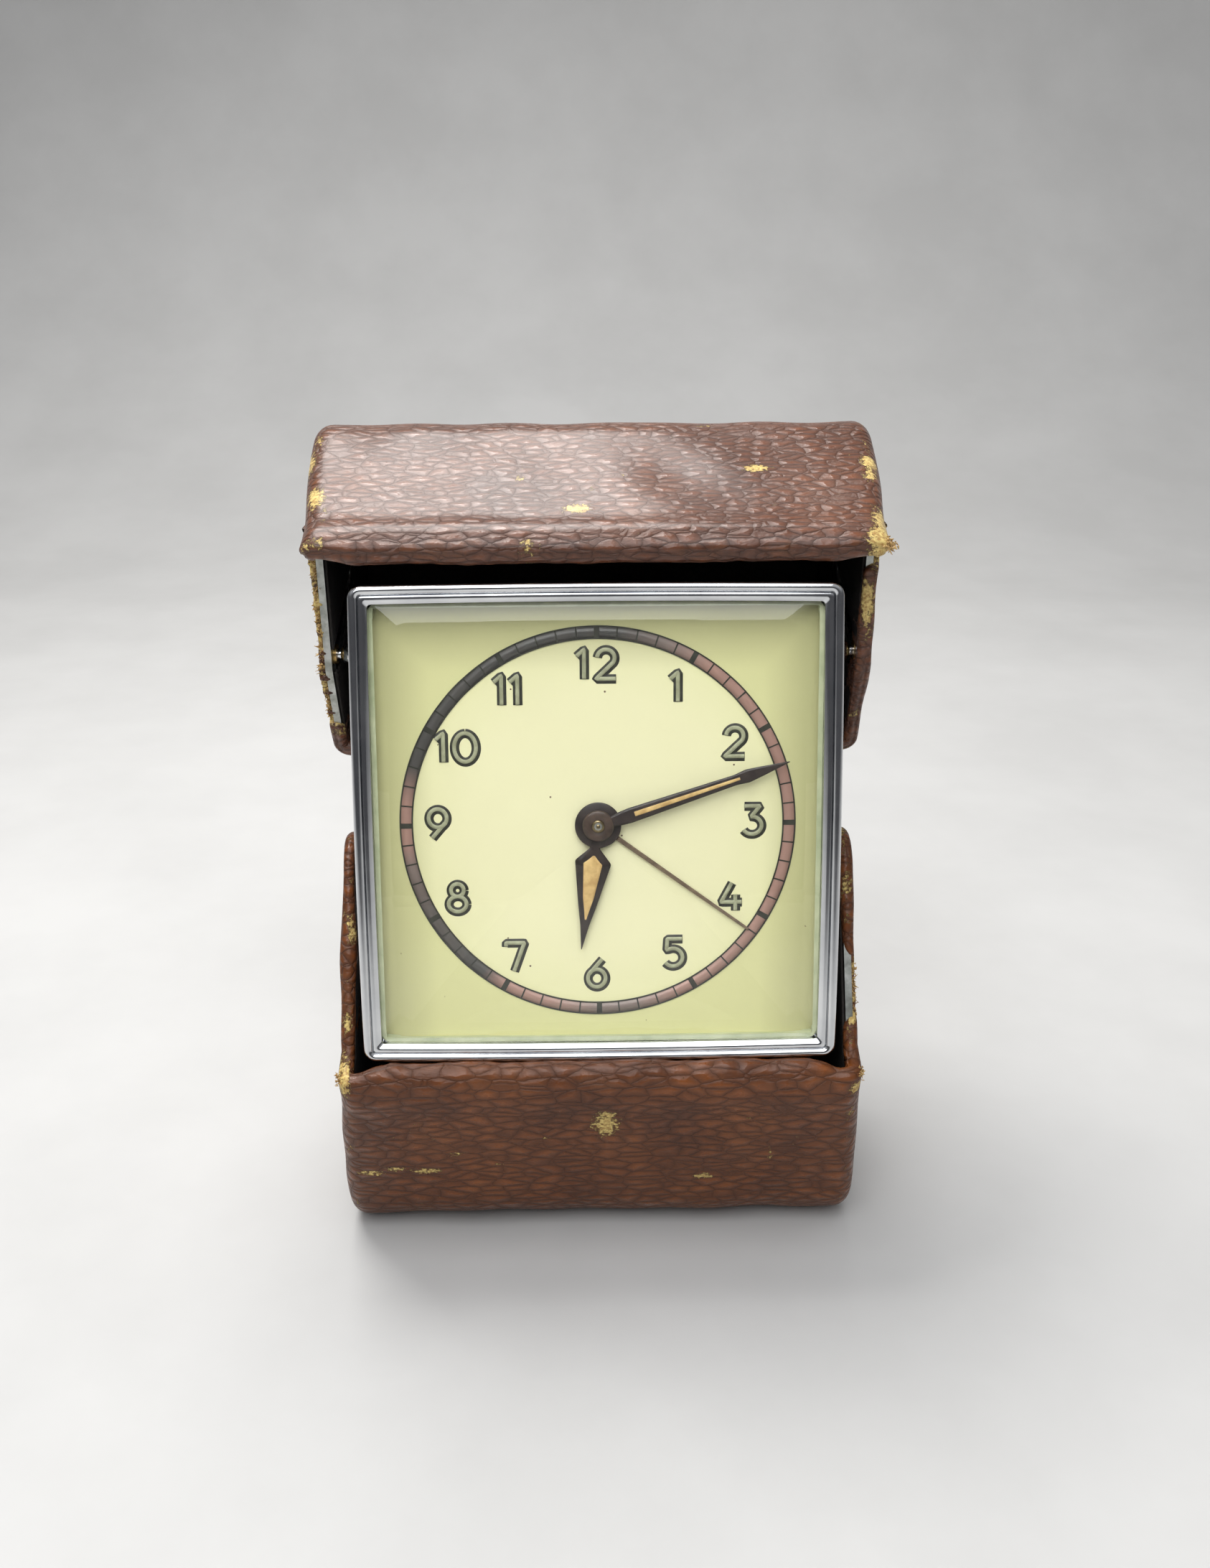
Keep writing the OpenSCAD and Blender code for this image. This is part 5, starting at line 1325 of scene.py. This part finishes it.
# %% Ring print
PINK, DULL = (0.40, 0.235, 0.19), (0.22, 0.17, 0.15)
GREY, BLACK, HAZE = (0.10, 0.09, 0.08), (0.06, 0.062, 0.058), (0.16, 0.11, 0.1)
RING_TONES = [(0.0, DULL), (0.045, PINK), (0.085, PINK), (0.105, BLACK), (0.17, GREY),
              (0.215, DULL), (0.235, PINK), (0.27, PINK), (0.30, BLACK), (0.44, BLACK),
              (0.52, BLACK), (0.56, DULL), (0.6, PINK), (0.93, PINK), (0.97, DULL), (1.0, DULL)]
copper, tree, shader = finish("ring_print", 0.35, 0.1)
right, up, at = dial_places(tree)
turn_share = math_node(tree, "ARCTAN2", right, up)
turn_share = math_node(tree, "MULTIPLY_ADD", turn_share, 0.5 / math.pi)
turn_share.node.inputs[2].default_value = 0.5
tones = ramp(tree, RING_TONES)
haze = placed(tree, mottle, {"Scale": 400.0, "Detail": 4.0})
hazy = math_node(tree, "MULTIPLY", haze.outputs["Value"], 0.25)
shade = mixer(tree, hazy, tones.outputs["Color"], HAZE)
join(tree, (turn_share, tones.inputs["Fac"]), (shade, shader.inputs["Base Color"]))

# %% [markdown]
# Glass bends the view of the dial, but its shadow would need far more light paths than it is
# worth. For rays that look for a lamp it is simply clear.

# %% Glass
glass_clear, tree, shader = finish("clear_glass", 0.01, Transmission_Weight=1.0, IOR=1.5)
shader.inputs["Base Color"].default_value = (0.985, 0.99, 0.975, 1)
path = node(tree, "ShaderNodeLightPath")
open_light = node(tree, "ShaderNodeBsdfTransparent")
either = node(tree, "ShaderNodeMixShader")
end = tree.nodes["Material Output"]
join(tree, (path.outputs["Is Shadow Ray"], either.inputs[0]), (shader.outputs[0], either.inputs[1]),
     (open_light.outputs[0], either.inputs[2]), (either.outputs[0], end.inputs["Surface"]))

# %% [markdown]
# Own pieces get their material directly. The model's other nodes get one through the material
# slot that the record gives them.

# %% Give every piece and node its finish
def dress(target, material):
    """Puts one material in the object's slot."""
    target.data.materials.clear()
    target.data.materials.append(material)


def paint_slots(part, material):
    """Puts one material in each slot of a node of the model."""
    for slot in part.material_slots:
        slot.material = material


worn_by = (
    (upper_leather, [upper_cover]), (lower_leather, [lower_cover]),
    (lining_cloth, [upper_lining, lower_lining]), (fray, [upper_fray, lower_fray]),
    (chrome, [bezel_frame]), (glass_clear, [glass]), (copper, [minute_ring]),
    (outline, [minute_marks, numeral_rim]), (lume, [numeral_fill]),
    (hand_black, [hour_hand, hour_hub, minute_hand, alarm_hub]),
    (hand_paint, [hour_lume, minute_lume]), (hub_brown, [minute_hub]),
    (worn_brass, [centre_pin]), (alarm_metal, [alarm_hand]))
for material, pieces in worn_by:
    for piece in pieces:
        dress(piece, material)
slot_finish = {
    "chrome": chrome, "brass": brass, "steel": steel, "blue_steel": blue, "dial_enamel": enamel,
    "glass": glass_clear, "ring_copper": copper, "lume": lume, "hand_black": hand_black,
    "hand_brass": alarm_metal, "leather": upper_leather, "lining": lining_cloth}
for part in frame["record"]["subparts"]:
    paint_slots(frame["nodes"][part["node"]], slot_finish[part["material_slot"]])
paint_slots(frame["nodes"]["dial_spacer"], spacer_paint)
print("own pieces dressed", sum(len(pieces) for _, pieces in worn_by))

# %% [markdown]
# ## Floor and light
# A plain pale floor rises behind the clock as one sheet. The lamps are large and soft. One
# hangs above and a little behind the clock, as the window was, and makes the leather's top
# shine. The other hangs above in front and lights the dial. The room is brighter above than
# at the sides, so that the chrome has something dark to show.

# %% Floor
REACH, SWEEP_AT, SWEEP_R, WALL_H = 1.2, 0.35, 0.3, 1.2
bend = np.linspace(0, math.pi / 2, 25)
floor_y = np.concatenate([[-REACH], SWEEP_AT + SWEEP_R * np.sin(bend), [SWEEP_AT + SWEEP_R]])
floor_z = np.concatenate([[0], SWEEP_R * (1 - np.cos(bend)), [WALL_H]])
floor_x = np.array([-5 * REACH, 5 * REACH])
floor_grid = np.stack(np.broadcast_arrays(floor_x[:, None], floor_y[None, :], floor_z[None, :]), -1)
floor = build("floor", [(floor_grid, False, False)])
dress(floor, mottled("pale_floor", (0.50, 0.497, 0.49), (0.54, 0.537, 0.53), 0.8,
                     bump=0.0, scale=20.0))

# %% Lamps
LAMP_AIM = (0, 0, 0.05)


def lamp(name, at, size, power, tint):
    """Rectangular area lamp turned towards the clock. size is its width and depth."""
    data = bpy.data.lights.new(name, "AREA")
    data.shape = "RECTANGLE"
    data.energy = power
    data.size, data.size_y = size
    data.color = tint
    made = bpy.data.objects.new(name, data)
    bpy.context.collection.objects.link(made)
    made.location = at
    made.rotation_euler = (Vector(LAMP_AIM) - Vector(at)).to_track_quat("-Z", "Y").to_euler()


lamp("window_lamp", (-0.1, 0.17, 0.5), (0.34, 0.22), power=2.9, tint=(1.0, 0.985, 0.96))
lamp("front_lamp", (-0.06, -0.31, 0.53), (0.42, 0.56), power=2.65, tint=(0.97, 0.985, 1.0))

# %% Room
world = bpy.data.worlds.new("room")
bpy.context.scene.world = world
world.use_nodes = True
tree = world.node_tree
back = tree.nodes["Background"]
facing = node(tree, "ShaderNodeTexCoord")
parts = node(tree, "ShaderNodeSeparateXYZ")
sky = ramp(tree, [(0.0, (0.12, 0.12, 0.12)), (0.48, (0.07, 0.07, 0.075)),
                  (0.62, (0.10, 0.10, 0.105)), (0.8, (0.40, 0.405, 0.42)),
                  (1.0, (0.5, 0.5, 0.5))])
raised = math_node(tree, "MULTIPLY_ADD", parts.outputs["Z"], 0.5)
raised.node.inputs[2].default_value = 0.5
join(tree, (facing.outputs["Generated"], parts.inputs[0]), (raised, sky.inputs["Fac"]),
     (sky.outputs["Color"], back.inputs["Color"]))
back.inputs["Strength"].default_value = 1.0
bpy.context.scene.view_settings.view_transform = "Standard"
